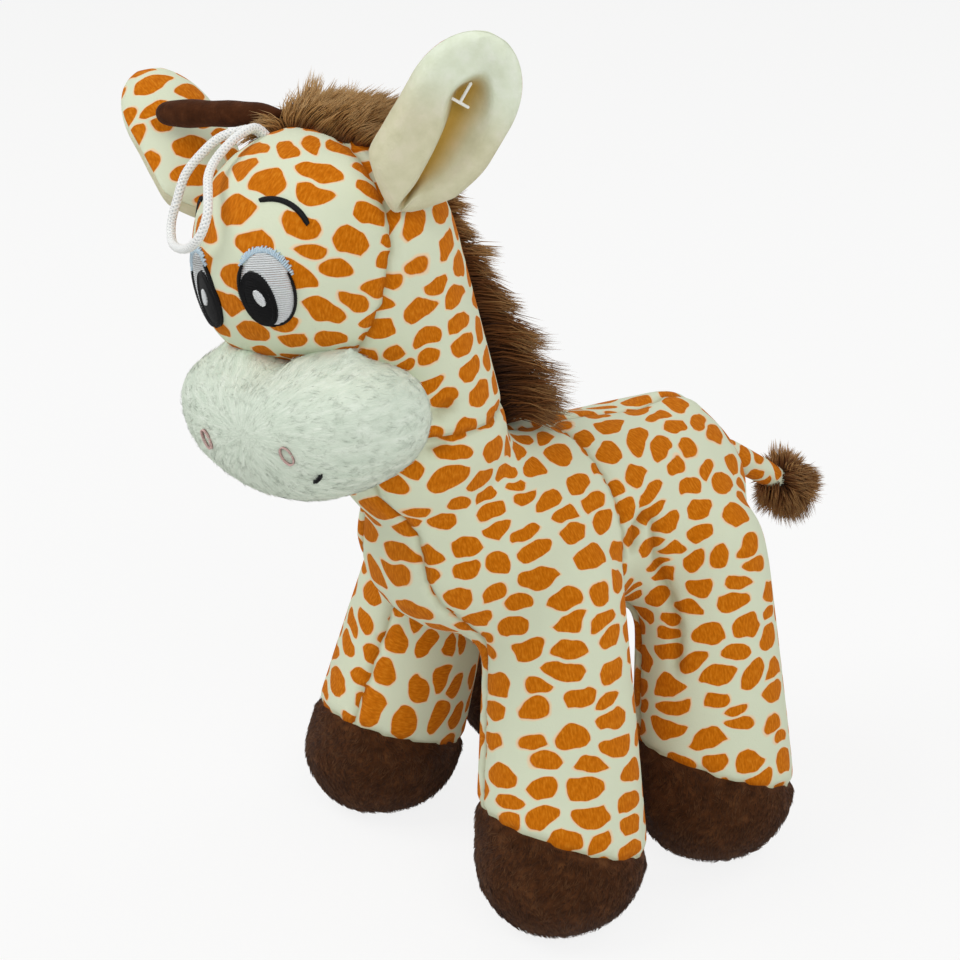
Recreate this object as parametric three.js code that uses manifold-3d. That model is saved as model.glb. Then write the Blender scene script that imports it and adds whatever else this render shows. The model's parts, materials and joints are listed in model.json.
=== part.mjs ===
// Plush giraffe, standing on four hoofs, with its head cocked to one side.
// Millimetres, +Z up. The giraffe faces -Y, its left side is +X and its soles lie on Z = 0.

import * as THREE from 'three';
import { mergeVertices } from 'three/addons/utils/BufferGeometryUtils.js';
import Module from 'manifold-3d';

const wasm = await Module();
wasm.setup();

// Cloth and fits
const CLOTH = 1.5; // plush cloth with its short pile
const GAP = 0.3; // clearance between pieces that touch
const THREAD = 0.7; // height of an embroidered layer

// Torso: a barrel with its own depth and width at the chest, the waist and the rump
const TORSO_LENGTH = 160;
const CHEST_Y = -73;
const RUMP_Y = CHEST_Y + TORSO_LENGTH;
const CHEST_ABOVE_HIP = 16;
const RUMP_ABOVE_HIP = 11;
const CHEST_HALF_WIDTH = 46;
const CHEST_HALF_DEPTH = 44;
const WAIST_HALF_WIDTH = 42;
const WAIST_HALF_DEPTH = 37;
const RUMP_HALF_WIDTH = 44;
const RUMP_HALF_DEPTH = 44;
const TORSO_BLUNTNESS = 2.8; // 2 gives elliptical ends, more gives blunter ones
const BELLY_SEAM_DROP = 20; // belly gusset's seam, below the torso's axis

// Legs: a ball in the hip, a shank and a swelling hoof with a flat sole
const FRONT_HIP_BEHIND_CHEST = 50;
const FRONT_HIP_X = 32;
const FRONT_HIP_Y = CHEST_Y + FRONT_HIP_BEHIND_CHEST;
const FRONT_HIP_Z = 115;
const HIND_HIP_AHEAD_OF_RUMP = 41;
const HIND_HIP_X = 34;
const HIND_HIP_Y = RUMP_Y - HIND_HIP_AHEAD_OF_RUMP;
const HIND_HIP_Z = 110;
const HIP_RADIUS = 26;
const SHANK_RADIUS = 27.5;
const ANKLE_Z = 55;
const HOOF_X = 53;
const FRONT_HOOF_AHEAD = 14; // of its hip
const HIND_HOOF_AHEAD = 9;
const HOOF_Z = 24; // height of the hoof's widest ring
const HOOF_HALF_WIDTH = 31;
const HOOF_HALF_LENGTH = 33;
const HOOF_HALF_HEIGHT = 29; // of the round underside, which the sole cuts flat
const HOOF_SEAM_Z = 35;
const HOOF_SEAM_SLOPE = 23; // degrees, higher at the toe
const LEG_SWING_OUT = 12; // degrees of room in the torso, front legs forward and hind legs back
const LEG_SWING_IN = 2; // degrees of room towards the other pair of hoofs

// Neck and head, in the head's own frame: its origin is the neck's pivot
const NECK_BEHIND_CHEST = 17;
const NECK_ABOVE_AXIS = 39;
const NECK_RADIUS = 32;
const NAPE_RADIUS = 38;
const NAPE_FORWARD = 18;
const NAPE_UP = 55;
const NAPE_DOME = 22; // height of the dome that ends the neck inside the head
const NECK_WAD_INSET = 10;
const NECK_WAD_RADIUS = NECK_RADIUS - NECK_WAD_INSET; // ball of fibre in the neck's foot
const NECK_BOWL_WALL = 5.5; // bowl of packed fibre under that ball
const NECK_BOWL_RIM = 60; // degrees from straight down
const HEAD_FORWARD = 28;
const HEAD_UP = 71;
const HEAD_HALF_WIDTH = 45;
const HEAD_HALF_LENGTH = 43;
const HEAD_HALF_HEIGHT = 41;
const HEAD_COCK = 14.2; // degrees about an axis that points forward and up
const HEAD_COCK_RISE = 39; // degrees, that axis above the level
const HEAD_NOD_UP = 8; // degrees
const CHEEK_SEAM_BEHIND = 6; // seam of the face panel, behind the head's centre

// Muzzle, from the head's centre
const MUZZLE_FORWARD = 19;
const MUZZLE_DOWN = 52;
const MUZZLE_HALF_WIDTH = 46.5;
const MUZZLE_HALF_LENGTH = 32;
const MUZZLE_HALF_HEIGHT = 23.5;
const MUZZLE_SQUARENESS = 2.4;

// Ears: two layers of cloth in a cupped leaf
const EAR_LENGTH = 62;
const EAR_HALF_WIDTH = 16.5;
const EAR_ROOT_HALF_WIDTH = 10;
const EAR_CUP = 6;
const EAR_LAYER = 2.6;
const EAR_WIDEST = 0.62; // share of the length
const EAR_LIFT = 48; // degrees above the head's level
const EAR_SWEEP = 12; // degrees to the back
const EAR_TWIST_LEFT = 35; // degrees, lining turned out and down
const EAR_TWIST_RIGHT = 100;
const EAR_FLOP = 30; // degrees, to and from its back
const EAR_SEAT = new THREE.Vector3(42, -3, 14); // from the head's centre towards the left ear's root

// Horns: rolls of dark plush that lie out sideways
const HORN_LENGTH = 46;
const HORN_RADIUS = 3.6;
const HORN_TIP_RADIUS = 4.8;
const HORN_LIFT_LEFT = -7; // degrees above the head's level
const HORN_LIFT_RIGHT = 5;
const HORN_SWEEP_LEFT = 60; // degrees to the back
const HORN_SWEEP_RIGHT = -15;
const HORN_SEAT = new THREE.Vector3(12.5, 0, 41); // from the head's centre towards the left horn's root

// Mane, tail and hang loop
const MANE_PILE = 24;
const CROWN_PILE = 10;
const MANE_HALF_WIDTH = 8;
const MANE_FRONT = 5; // crown end, ahead of the head's centre
const MANE_FOOT_Z = 3; // lower end, above the neck's pivot
const TAIL_ABOVE_AXIS = 9;
const TAIL_RADIUS = 5.5;
const TAIL_LENGTH = 44;
const TAIL_DROP = 33; // degrees below the level
const TAIL_SWING = 20; // degrees, up and down
const TUFT_REACH = 50; // pivot to the tuft's centre
const TUFT_RADIUS = 13.5;
const TUFT_HALF_LENGTH = 16;
const LOOP_RADIUS = 1.5;
const LOOP_STEP = 7;
const LOOP_SIDES = 8;

// The loop's route over the forehead, in the head's frame
const LOOP_ROUTE = [
  new THREE.Vector3(-3.9, -46.1, 109.6),
  new THREE.Vector3(-14, -45, 111),
  new THREE.Vector3(-20, -46.5, 109.8),
  new THREE.Vector3(-24.5, -51.5, 105.4),
  new THREE.Vector3(-28, -56, 100),
  new THREE.Vector3(-30, -59.5, 92.5),
  new THREE.Vector3(-31.5, -62, 86),
  new THREE.Vector3(-27, -66.5, 80.5),
  new THREE.Vector3(-18, -70.5, 79),
  new THREE.Vector3(-9, -73, 80.5),
  new THREE.Vector3(-3, -73.3, 84.5),
  new THREE.Vector3(-1.5, -71, 90),
  new THREE.Vector3(-4, -67.5, 95.5),
  new THREE.Vector3(-7.5, -63.5, 100),
  new THREE.Vector3(-10, -58, 104),
  new THREE.Vector3(-9, -53, 108),
  new THREE.Vector3(-1.9, -49.6, 108.1),
];

// Embroidery, placed from the centre of the head or of the muzzle
const EYE_OUT = 14.5;
const EYE_DOWN = 7;
const EYE_HALF_WIDTH = 9.8;
const EYE_HALF_HEIGHT = 12.5;
const EYE_LEAN = 8; // degrees, tops lean together
const PUPIL_HALF_WIDTH = 6;
const PUPIL_HALF_HEIGHT = 9.7;
const PUPIL_DOWN = 1.5;
const GLINT_HALF_WIDTH = 2.2;
const GLINT_HALF_HEIGHT = 3.2;
const LID_WIDTH = 2.5;
const LID_FROM = 25; // degrees above the eye's level
const BROW_OUT = 17;
const BROW_UP = 8;
const BROW_RADIUS = 15;
const BROW_WIDTH = 2.3;
const BROW_ARC = 80; // degrees
const BROW_LEAN = 35; // degrees, outer ends fall
const NOSTRIL_OUT = 20;
const NOSTRIL_DOWN = 2;
const NOSTRIL_HALF_WIDTH = 2.8;
const NOSTRIL_HALF_HEIGHT = 4.4;
const NOSTRIL_LINE = 1;
const NOSTRIL_TURN = 345; // degrees that the stitched outline goes round
const MOUTH_OUT = 31;
const MOUTH_DOWN = 14;
const MOUTH_LENGTH = 6;
const MOUTH_WIDTH = 1.6;
const MOUTH_LEAN = 50; // degrees

// Swing tag's fastener, left in the left ear
const BARB_LENGTH = 6.5;
const BARB_STEM = 7;
const BARB_RADIUS = 0.5;
const BARB_LIFT = 0.8; // over the lining, which the cloth's cup curves up to it
const BARB_AT = 0.6; // share of the ear's length

// Facets
const TORSO_SIDES = 20;
const TORSO_RINGS = 10;
const LEG_SIDES = 12;
const HEAD_SIDES = 18;
const HEAD_RINGS = 11;
const NECK_FOOT_FALLS = [65, 42, 20, 0]; // degrees, rings of the neck's round foot
const NAPE_DOME_RISES = [35, 65]; // degrees, rings of its dome
const EAR_STEPS = 7;
const EAR_SPREAD = 4;
const THREAD_SIDES = 12;
const FAR = 400; // reach of a cutting block

const CREAM = 0xe4efda;
const WHITE = 0xeef0ea;
const BROWN = 0x3f2415;
const FUR = 0x5a3316;
const FIBRE = 0xf4f4f0;
const BLACK = 0x14110f;
const PINK = 0xc9a29c;
const LID_BLUE = 0xa9c4d2;
const HORN_BROWN = 0x4c2a15;
const LINING = 0xd1dab8;

const rad = THREE.MathUtils.degToRad;
const { lerp, clamp, smoothstep } = THREE.MathUtils;
const X_AXIS = new THREE.Vector3(1, 0, 0);
const Y_AXIS = new THREE.Vector3(0, 1, 0);
const Z_AXIS = new THREE.Vector3(0, 0, 1);

// Solids and meshes

function toSolid(geometry) {
  const bare = geometry.clone();
  bare.deleteAttribute('normal');
  bare.deleteAttribute('uv');
  const merged = mergeVertices(bare, 1e-4);
  const corners = [];
  for (let i = 0; i < merged.index.count; i += 3) {
    const [a, b, c] = [0, 1, 2].map((k) => merged.index.getX(i + k));
    if (a !== b && b !== c && c !== a) corners.push(a, b, c);
  }
  return new wasm.Manifold(new wasm.Mesh({
    numProp: 3,
    vertProperties: Float32Array.from(merged.attributes.position.array),
    triVerts: Uint32Array.from(corners),
  }));
}

function toGeometry(solid) {
  const { numProp, vertProperties, triVerts } = solid.getMesh();
  const points = [];
  for (let i = 0; i < vertProperties.length; i += numProp) {
    points.push(vertProperties[i], vertProperties[i + 1], vertProperties[i + 2]);
  }
  const geometry = new THREE.BufferGeometry();
  geometry.setAttribute('position', new THREE.Float32BufferAttribute(points, 3));
  geometry.setIndex(Array.from(triVerts));
  return geometry;
}

function joined(solids) {
  return solids.reduce((whole, solid) => whole.add(solid));
}

function cut(solid, cutters) {
  return cutters.reduce((rest, cutter) => rest.subtract(cutter), solid);
}

function piece(name, solid, color, roughness = 0.95) {
  const geometry = toGeometry(solid);
  geometry.computeVertexNormals();
  const material = new THREE.MeshStandardMaterial({ color, roughness, metalness: 0 });
  const mesh = new THREE.Mesh(geometry, material);
  mesh.name = name;
  return mesh;
}

// Closed skin over a row of rings, where a ring of one point closes to a tip
function loft(rings) {
  const points = [];
  const starts = [];
  for (const ring of rings) {
    starts.push(points.length);
    points.push(...ring);
  }
  const corners = [];
  for (let r = 0; r + 1 < rings.length; r += 1) {
    const [low, high] = [rings[r].length, rings[r + 1].length];
    const sides = Math.max(low, high);
    for (let k = 0; k < sides; k += 1) {
      const a = starts[r] + (k % low);
      const b = starts[r] + ((k + 1) % low);
      const c = starts[r + 1] + (k % high);
      const d = starts[r + 1] + ((k + 1) % high);
      if (low > 1) corners.push(a, b, d);
      if (high > 1) corners.push(a, d, c);
    }
  }
  for (const [r, flip] of [[0, true], [rings.length - 1, false]]) {
    const ring = rings[r];
    if (ring.length === 1) continue;
    const middle = points.length;
    points.push(ring.reduce((sum, p) => sum.add(p), new THREE.Vector3()).divideScalar(ring.length));
    for (let k = 0; k < ring.length; k += 1) {
      const a = starts[r] + k;
      const b = starts[r] + ((k + 1) % ring.length);
      corners.push(...(flip ? [middle, b, a] : [middle, a, b]));
    }
  }
  const volume = signedVolume(points, corners);
  if (volume < 0) corners.reverse();
  const geometry = new THREE.BufferGeometry().setFromPoints(points);
  geometry.setIndex(corners);
  return geometry;
}

function signedVolume(points, corners) {
  let sum = 0;
  for (let i = 0; i < corners.length; i += 3) {
    const [a, b, c] = [points[corners[i]], points[corners[i + 1]], points[corners[i + 2]]];
    sum += a.dot(new THREE.Vector3().crossVectors(b, c));
  }
  return sum / 6;
}

function ellipse(centre, across, along, halfAcross, halfAlong, sides) {
  return Array.from({ length: sides }, (_, k) => {
    const turn = (2 * Math.PI * k) / sides;
    return centre.clone()
      .addScaledVector(across, halfAcross * Math.cos(turn))
      .addScaledVector(along, halfAlong * Math.sin(turn));
  });
}

// Block that fills one side of a plane through a point, on the side the normal points to
function halfSpace(point, normal) {
  const geometry = new THREE.BoxGeometry(FAR, FAR, FAR).translate(0, 0, FAR / 2);
  geometry.applyQuaternion(new THREE.Quaternion().setFromUnitVectors(Z_AXIS, normal));
  return toSolid(geometry.translate(point.x, point.y, point.z));
}

// Turn about an axis through a pivot
function turned(geometry, pivot, axis, degrees) {
  const turn = new THREE.Matrix4().makeRotationAxis(axis, rad(degrees));
  const there = new THREE.Matrix4().makeTranslation(pivot.x, pivot.y, pivot.z);
  const back = new THREE.Matrix4().makeTranslation(-pivot.x, -pivot.y, -pivot.z);
  return geometry.clone().applyMatrix4(there.multiply(turn).multiply(back));
}

function ball(radius) {
  return toSolid(new THREE.SphereGeometry(radius, HEAD_SIDES, HEAD_RINGS).rotateX(Math.PI / 2));
}

// Radius of a faceted hollow whose flats stay clear of a ball that turns in it
function roomRadius(radius) {
  return (radius + GAP) / (Math.cos(Math.PI / HEAD_SIDES) * Math.cos(Math.PI / (2 * HEAD_RINGS)));
}

// Torso

const chestZ = FRONT_HIP_Z + CHEST_ABOVE_HIP;
const rumpZ = HIND_HIP_Z + RUMP_ABOVE_HIP;

function throughThree(start, middle, end, t) {
  const pull = 2 * middle - (start + end) / 2;
  return lerp(lerp(start, pull, t), lerp(pull, end, t), t);
}

function torsoForm(grow) {
  const rings = [];
  for (let i = 0; i <= TORSO_RINGS; i += 1) {
    const t = (1 - Math.cos((Math.PI * i) / TORSO_RINGS)) / 2;
    const y = lerp(CHEST_Y - grow, RUMP_Y + grow, t);
    const centre = new THREE.Vector3(0, y, lerp(chestZ, rumpZ, t));
    const full = (1 - Math.abs(2 * t - 1) ** TORSO_BLUNTNESS) ** (1 / TORSO_BLUNTNESS);
    const width = full * (throughThree(CHEST_HALF_WIDTH, WAIST_HALF_WIDTH, RUMP_HALF_WIDTH, t) + grow);
    const depth = full * (throughThree(CHEST_HALF_DEPTH, WAIST_HALF_DEPTH, RUMP_HALF_DEPTH, t) + grow);
    const tip = i === 0 || i === TORSO_RINGS;
    rings.push(tip ? [centre] : ellipse(centre, X_AXIS, Z_AXIS, width, depth, TORSO_SIDES));
  }
  return loft(rings);
}

// Legs

const legs = [];
for (const [end, hipX, hipY, hipZ, hoofAhead, forward] of [
  ['front', FRONT_HIP_X, FRONT_HIP_Y, FRONT_HIP_Z, FRONT_HOOF_AHEAD, -1],
  ['hind', HIND_HIP_X, HIND_HIP_Y, HIND_HIP_Z, HIND_HOOF_AHEAD, 1],
]) {
  for (const [side, sign] of [['left', 1], ['right', -1]]) {
    legs.push({
      name: `${end}_${side}`,
      hip: new THREE.Vector3(sign * hipX, hipY, hipZ),
      hoof: new THREE.Vector3(sign * HOOF_X, hipY - hoofAhead, HOOF_Z),
      forward,
    });
  }
}

function legForm({ hip, hoof }, grow) {
  const rings = [[new THREE.Vector3(hip.x, hip.y, hip.z + HIP_RADIUS + grow)]];
  const ring = (z, halfWidth, halfLength) => {
    const share = clamp((hip.z - z) / (hip.z - hoof.z), 0, 1);
    const centre = new THREE.Vector3(lerp(hip.x, hoof.x, share), lerp(hip.y, hoof.y, share), z);
    rings.push(ellipse(centre, X_AXIS, Y_AXIS, halfWidth + grow, halfLength + grow, LEG_SIDES));
  };
  for (const rise of [60, 30, 0]) {
    const size = (HIP_RADIUS + grow) * Math.cos(rad(rise)) - grow;
    ring(hip.z + (HIP_RADIUS + grow) * Math.sin(rad(rise)), size, size);
  }
  ring((hip.z + ANKLE_Z) / 2, (HIP_RADIUS + SHANK_RADIUS) / 2, (HIP_RADIUS + SHANK_RADIUS) / 2);
  for (const share of [0, 0.5, 1]) {
    const swell = smoothstep(share, 0, 1);
    ring(
      lerp(ANKLE_Z, HOOF_Z, share),
      lerp(SHANK_RADIUS, HOOF_HALF_WIDTH, swell),
      lerp(SHANK_RADIUS, HOOF_HALF_LENGTH, swell),
    );
  }
  const under = HOOF_HALF_HEIGHT + grow;
  const soleFall = Math.asin((HOOF_Z + grow) / under);
  for (const share of [0.4, 0.75, 1]) {
    const shrink = Math.cos(soleFall * share);
    ring(
      HOOF_Z - under * Math.sin(soleFall * share),
      (HOOF_HALF_WIDTH + grow) * shrink - grow,
      (HOOF_HALF_LENGTH + grow) * shrink - grow,
    );
  }
  return loft(rings);
}

const torsoClear = toSolid(torsoForm(GAP));

function buildLeg(leg) {
  const shell = cut(toSolid(legForm(leg, 0)), [toSolid(legForm(leg, -CLOTH))]);
  const seam = new THREE.Vector3(leg.hoof.x, leg.hoof.y, HOOF_SEAM_Z);
  const up = new THREE.Vector3(0, 1, 0).applyAxisAngle(X_AXIS, rad(90 - HOOF_SEAM_SLOPE));
  const above = halfSpace(seam.clone().addScaledVector(up, GAP / 2), up);
  const below = halfSpace(seam.clone().addScaledVector(up, -GAP / 2), up.clone().negate());
  const group = new THREE.Group();
  group.position.copy(leg.hip);
  const parts = [
    piece(`leg_cover_${leg.name}`, cut(shell.intersect(above), [torsoClear]), CREAM),
    piece(`hoof_cover_${leg.name}`, shell.intersect(below), BROWN),
    piece(`leg_stuffing_${leg.name}`, toSolid(legForm(leg, -CLOTH - GAP)), FIBRE),
  ];
  for (const part of parts) {
    part.geometry.translate(-leg.hip.x, -leg.hip.y, -leg.hip.z);
    group.add(part);
  }
  return group;
}

// Level ring of a leg's room: a leg's ring drawn out along Y, both ways
function drawnRing(centre, halfWidth, halfLength, reach) {
  const points = [];
  for (const [start, shift] of [[0, reach], [Math.PI, -reach]]) {
    for (let k = 0; k <= LEG_SIDES / 2; k += 1) {
      const turn = start + (2 * Math.PI * k) / LEG_SIDES;
      const [x, y] = [halfWidth * Math.cos(turn), halfLength * Math.sin(turn) + shift];
      points.push(new THREE.Vector3(centre.x + x, centre.y + y, centre.z));
    }
  }
  return points;
}

// Room that a leg needs in the torso over its whole swing: the hip's ball over a widening shank
function legRoom({ hip, hoof, forward }) {
  const radius = roomRadius(HIP_RADIUS);
  const depth = hip.z - ANKLE_Z;
  const out = depth * Math.tan(rad(LEG_SWING_OUT));
  const back = depth * Math.tan(rad(LEG_SWING_IN));
  const foot = hip.clone().lerp(hoof, depth / (hip.z - hoof.z));
  foot.y += (forward * (out - back)) / 2;
  const wide = Math.max(radius, SHANK_RADIUS + GAP);
  const slanted = 1 / Math.cos(rad(LEG_SWING_OUT));
  const top = hip.clone();
  top.z += HIP_RADIUS * Math.sin(rad(LEG_SWING_OUT));
  const shank = loft([
    drawnRing(top, radius, radius * slanted, GAP),
    drawnRing(foot, wide, wide * slanted, (out + back) / 2),
  ]);
  return ball(radius).translate(hip.toArray()).add(toSolid(shank));
}

// Head, in its own frame

const headCentre = new THREE.Vector3(0, -HEAD_FORWARD, HEAD_UP);
const muzzleCentre = new THREE.Vector3(0, -HEAD_FORWARD - MUZZLE_FORWARD, HEAD_UP - MUZZLE_DOWN);
const headBulb = {
  centre: headCentre,
  sizes: new THREE.Vector3(HEAD_HALF_WIDTH, HEAD_HALF_LENGTH, HEAD_HALF_HEIGHT),
  power: 2,
};
const muzzleBulb = {
  centre: muzzleCentre,
  sizes: new THREE.Vector3(MUZZLE_HALF_WIDTH, MUZZLE_HALF_LENGTH, MUZZLE_HALF_HEIGHT),
  power: MUZZLE_SQUARENESS,
};

// Point at a height above a bulb, along a direction from its centre
// A power over 2 makes the bulb squarer than an ellipsoid
function onBulb({ centre, sizes, power }, direction, height) {
  const shares = direction.clone().divide(sizes.clone().addScalar(height));
  const reach = shares.toArray().reduce((sum, share) => sum + Math.abs(share) ** power, 0);
  return direction.clone().divideScalar(reach ** (1 / power)).add(centre);
}

function bulbGeometry(bulb, grow) {
  const geometry = new THREE.SphereGeometry(1, HEAD_SIDES, HEAD_RINGS).rotateX(Math.PI / 2);
  const points = geometry.attributes.position;
  for (let i = 0; i < points.count; i += 1) {
    const direction = new THREE.Vector3().fromBufferAttribute(points, i).multiply(bulb.sizes);
    const point = onBulb(bulb, direction, grow);
    points.setXYZ(i, point.x, point.y, point.z);
  }
  return geometry;
}

const headForm = (grow) => toSolid(bulbGeometry(headBulb, grow));
const muzzleForm = (grow) => toSolid(bulbGeometry(muzzleBulb, grow));

function neckForm(grow) {
  const foot = NECK_RADIUS + grow;
  const rings = [[new THREE.Vector3(0, 0, -foot)]];
  const ring = (y, z, radius) => {
    rings.push(ellipse(new THREE.Vector3(0, y, z), X_AXIS, Y_AXIS, radius, radius, HEAD_SIDES));
  };
  for (const fall of NECK_FOOT_FALLS) ring(0, -foot * Math.sin(rad(fall)), foot * Math.cos(rad(fall)));
  for (const share of [0.35, 0.7, 1]) {
    ring(-NAPE_FORWARD * share, NAPE_UP * share, lerp(NECK_RADIUS, NAPE_RADIUS, share) + grow);
  }
  const dome = NAPE_DOME + grow;
  for (const rise of NAPE_DOME_RISES) {
    ring(-NAPE_FORWARD, NAPE_UP + dome * Math.sin(rad(rise)), (NAPE_RADIUS + grow) * Math.cos(rad(rise)));
  }
  rings.push([new THREE.Vector3(0, -NAPE_FORWARD, NAPE_UP + dome)]);
  return toSolid(loft(rings));
}

const skull = (grow) => headForm(grow).add(neckForm(grow));

const neckPivot = new THREE.Vector3(0, CHEST_Y + NECK_BEHIND_CHEST, chestZ + NECK_ABOVE_AXIS);
const cockAxis = new THREE.Vector3(0, -1, 0).applyAxisAngle(X_AXIS, -rad(HEAD_COCK_RISE));
const cocked = new THREE.Quaternion().setFromAxisAngle(cockAxis, rad(HEAD_COCK));

// The torso as the head sees it, with the head nodded up by some degrees
function torsoSeen(degrees) {
  const geometry = torsoForm(GAP).translate(-neckPivot.x, -neckPivot.y, -neckPivot.z);
  geometry.applyQuaternion(new THREE.Quaternion().setFromAxisAngle(X_AXIS, rad(degrees)));
  return toSolid(geometry.applyQuaternion(cocked.clone().invert()));
}

function buildHead() {
  const group = new THREE.Group();
  const shell = cut(skull(0), [skull(-CLOTH), muzzleForm(GAP), torsoSeen(0)]);
  const cheekY = headCentre.y + CHEEK_SEAM_BEHIND;
  const face = halfSpace(new THREE.Vector3(0, cheekY - GAP / 2, 0), Y_AXIS.clone().negate())
    .intersect(halfSpace(new THREE.Vector3(0, 0, muzzleCentre.z), Z_AXIS));
  const faceRoom = halfSpace(new THREE.Vector3(0, cheekY + GAP / 2, 0), Y_AXIS.clone().negate())
    .intersect(halfSpace(new THREE.Vector3(0, 0, muzzleCentre.z - GAP), Z_AXIS));
  group.add(piece('face_panel', shell.intersect(face), CREAM));
  for (const [side, sign] of [['left', 1], ['right', -1]]) {
    const half = halfSpace(new THREE.Vector3((sign * GAP) / 2, 0, 0), X_AXIS.clone().multiplyScalar(sign));
    group.add(piece(`head_panel_${side}`, cut(shell.intersect(half), [faceRoom]), CREAM));
  }
  const muzzle = cut(muzzleForm(0), [muzzleForm(-CLOTH), skull(GAP)]);
  group.add(piece('muzzle_cover', muzzle, WHITE));

  const inside = -CLOTH - GAP;
  const lowerHalf = halfSpace(new THREE.Vector3(0, 0, 0), Z_AXIS.clone().negate());
  const filled = joined([headForm(inside), neckForm(inside), muzzleForm(inside)]);
  const foot = ball(roomRadius(NECK_RADIUS)).intersect(lowerHalf);
  group.add(piece('head_stuffing', cut(filled, [foot]).add(ball(NECK_WAD_RADIUS)), FIBRE));
  group.add(piece('mane', buildMane(), FUR));
  return group;
}

function buildMane() {
  const outline = new THREE.Shape([
    new THREE.Vector2(headCentre.y, headCentre.z),
    new THREE.Vector2(headCentre.y - MANE_FRONT, FAR),
    new THREE.Vector2(FAR, FAR),
    new THREE.Vector2(FAR, MANE_FOOT_Z),
    new THREE.Vector2(0, MANE_FOOT_Z),
  ]);
  const slab = new THREE.ExtrudeGeometry(outline, { depth: 2 * MANE_HALF_WIDTH, bevelEnabled: false });
  const toSagittal = new THREE.Matrix4().makeBasis(Y_AXIS, Z_AXIS, X_AXIS);
  slab.translate(0, 0, -MANE_HALF_WIDTH).applyMatrix4(toSagittal);
  const pile = headForm(CROWN_PILE).add(neckForm(MANE_PILE)).intersect(toSolid(slab));
  return cut(pile, [skull(GAP), torsoSeen(0), torsoSeen(HEAD_NOD_UP)]);
}

// Bowl of packed fibre that the neck's ball turns in
function buildNeckBowl() {
  const inner = roomRadius(NECK_WAD_RADIUS);
  const outer = inner + NECK_BOWL_WALL;
  const profile = [];
  for (const share of [0, 0.25, 0.5, 0.75, 1]) {
    const angle = rad(NECK_BOWL_RIM * share);
    profile.push(new THREE.Vector2(outer * Math.sin(angle), -outer * Math.cos(angle)));
  }
  for (const share of [1, 0.75, 0.5, 0.25, 0]) {
    const angle = rad(NECK_BOWL_RIM * share);
    profile.push(new THREE.Vector2(inner * Math.sin(angle), -inner * Math.cos(angle)));
  }
  return toSolid(new THREE.LatheGeometry(profile, HEAD_SIDES).rotateX(Math.PI / 2));
}

// Embroidery: layers of thread laid on a bulb

// Gives the point on a bulb that lies some way across and along from a stitched figure's centre
function stitchFrame(bulb, offset, lean) {
  const normal = offset.clone().normalize();
  const across = new THREE.Vector3().crossVectors(Z_AXIS, normal).normalize();
  across.applyAxisAngle(normal, rad(lean));
  const along = new THREE.Vector3().crossVectors(normal, across);
  return (u, v, height) => {
    const direction = offset.clone().addScaledVector(across, u).addScaledVector(along, v);
    return onBulb(bulb, direction, height);
  };
}

function patch(at, halfWidth, halfHeight, down, layer) {
  const low = GAP + layer * (THREAD + GAP);
  const high = low + THREAD;
  const around = (share, height) => Array.from({ length: THREAD_SIDES }, (_, k) => {
    const turn = (2 * Math.PI * k) / THREAD_SIDES;
    return at(share * halfWidth * Math.cos(turn), share * halfHeight * Math.sin(turn) - down, height);
  });
  return toSolid(loft([
    [at(0, -down, low)], around(0.5, low), around(1, low),
    around(1, high), around(0.5, high), [at(0, -down, high)],
  ]));
}

// Stitched line along an arc of an ellipse, outside its half sizes
function stitchedLine(at, halfWidth, halfHeight, width, from, to) {
  const steps = Math.ceil((THREAD_SIDES * (to - from)) / 360) + 2;
  const rings = Array.from({ length: steps + 1 }, (_, k) => {
    const turn = rad(lerp(from, to, k / steps));
    const spot = (out, height) => at(
      (halfWidth + out) * Math.cos(turn),
      (halfHeight + out) * Math.sin(turn),
      height,
    );
    return [spot(0, GAP), spot(width, GAP), spot(width, GAP + THREAD), spot(0, GAP + THREAD)];
  });
  return toSolid(loft(rings));
}

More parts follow.
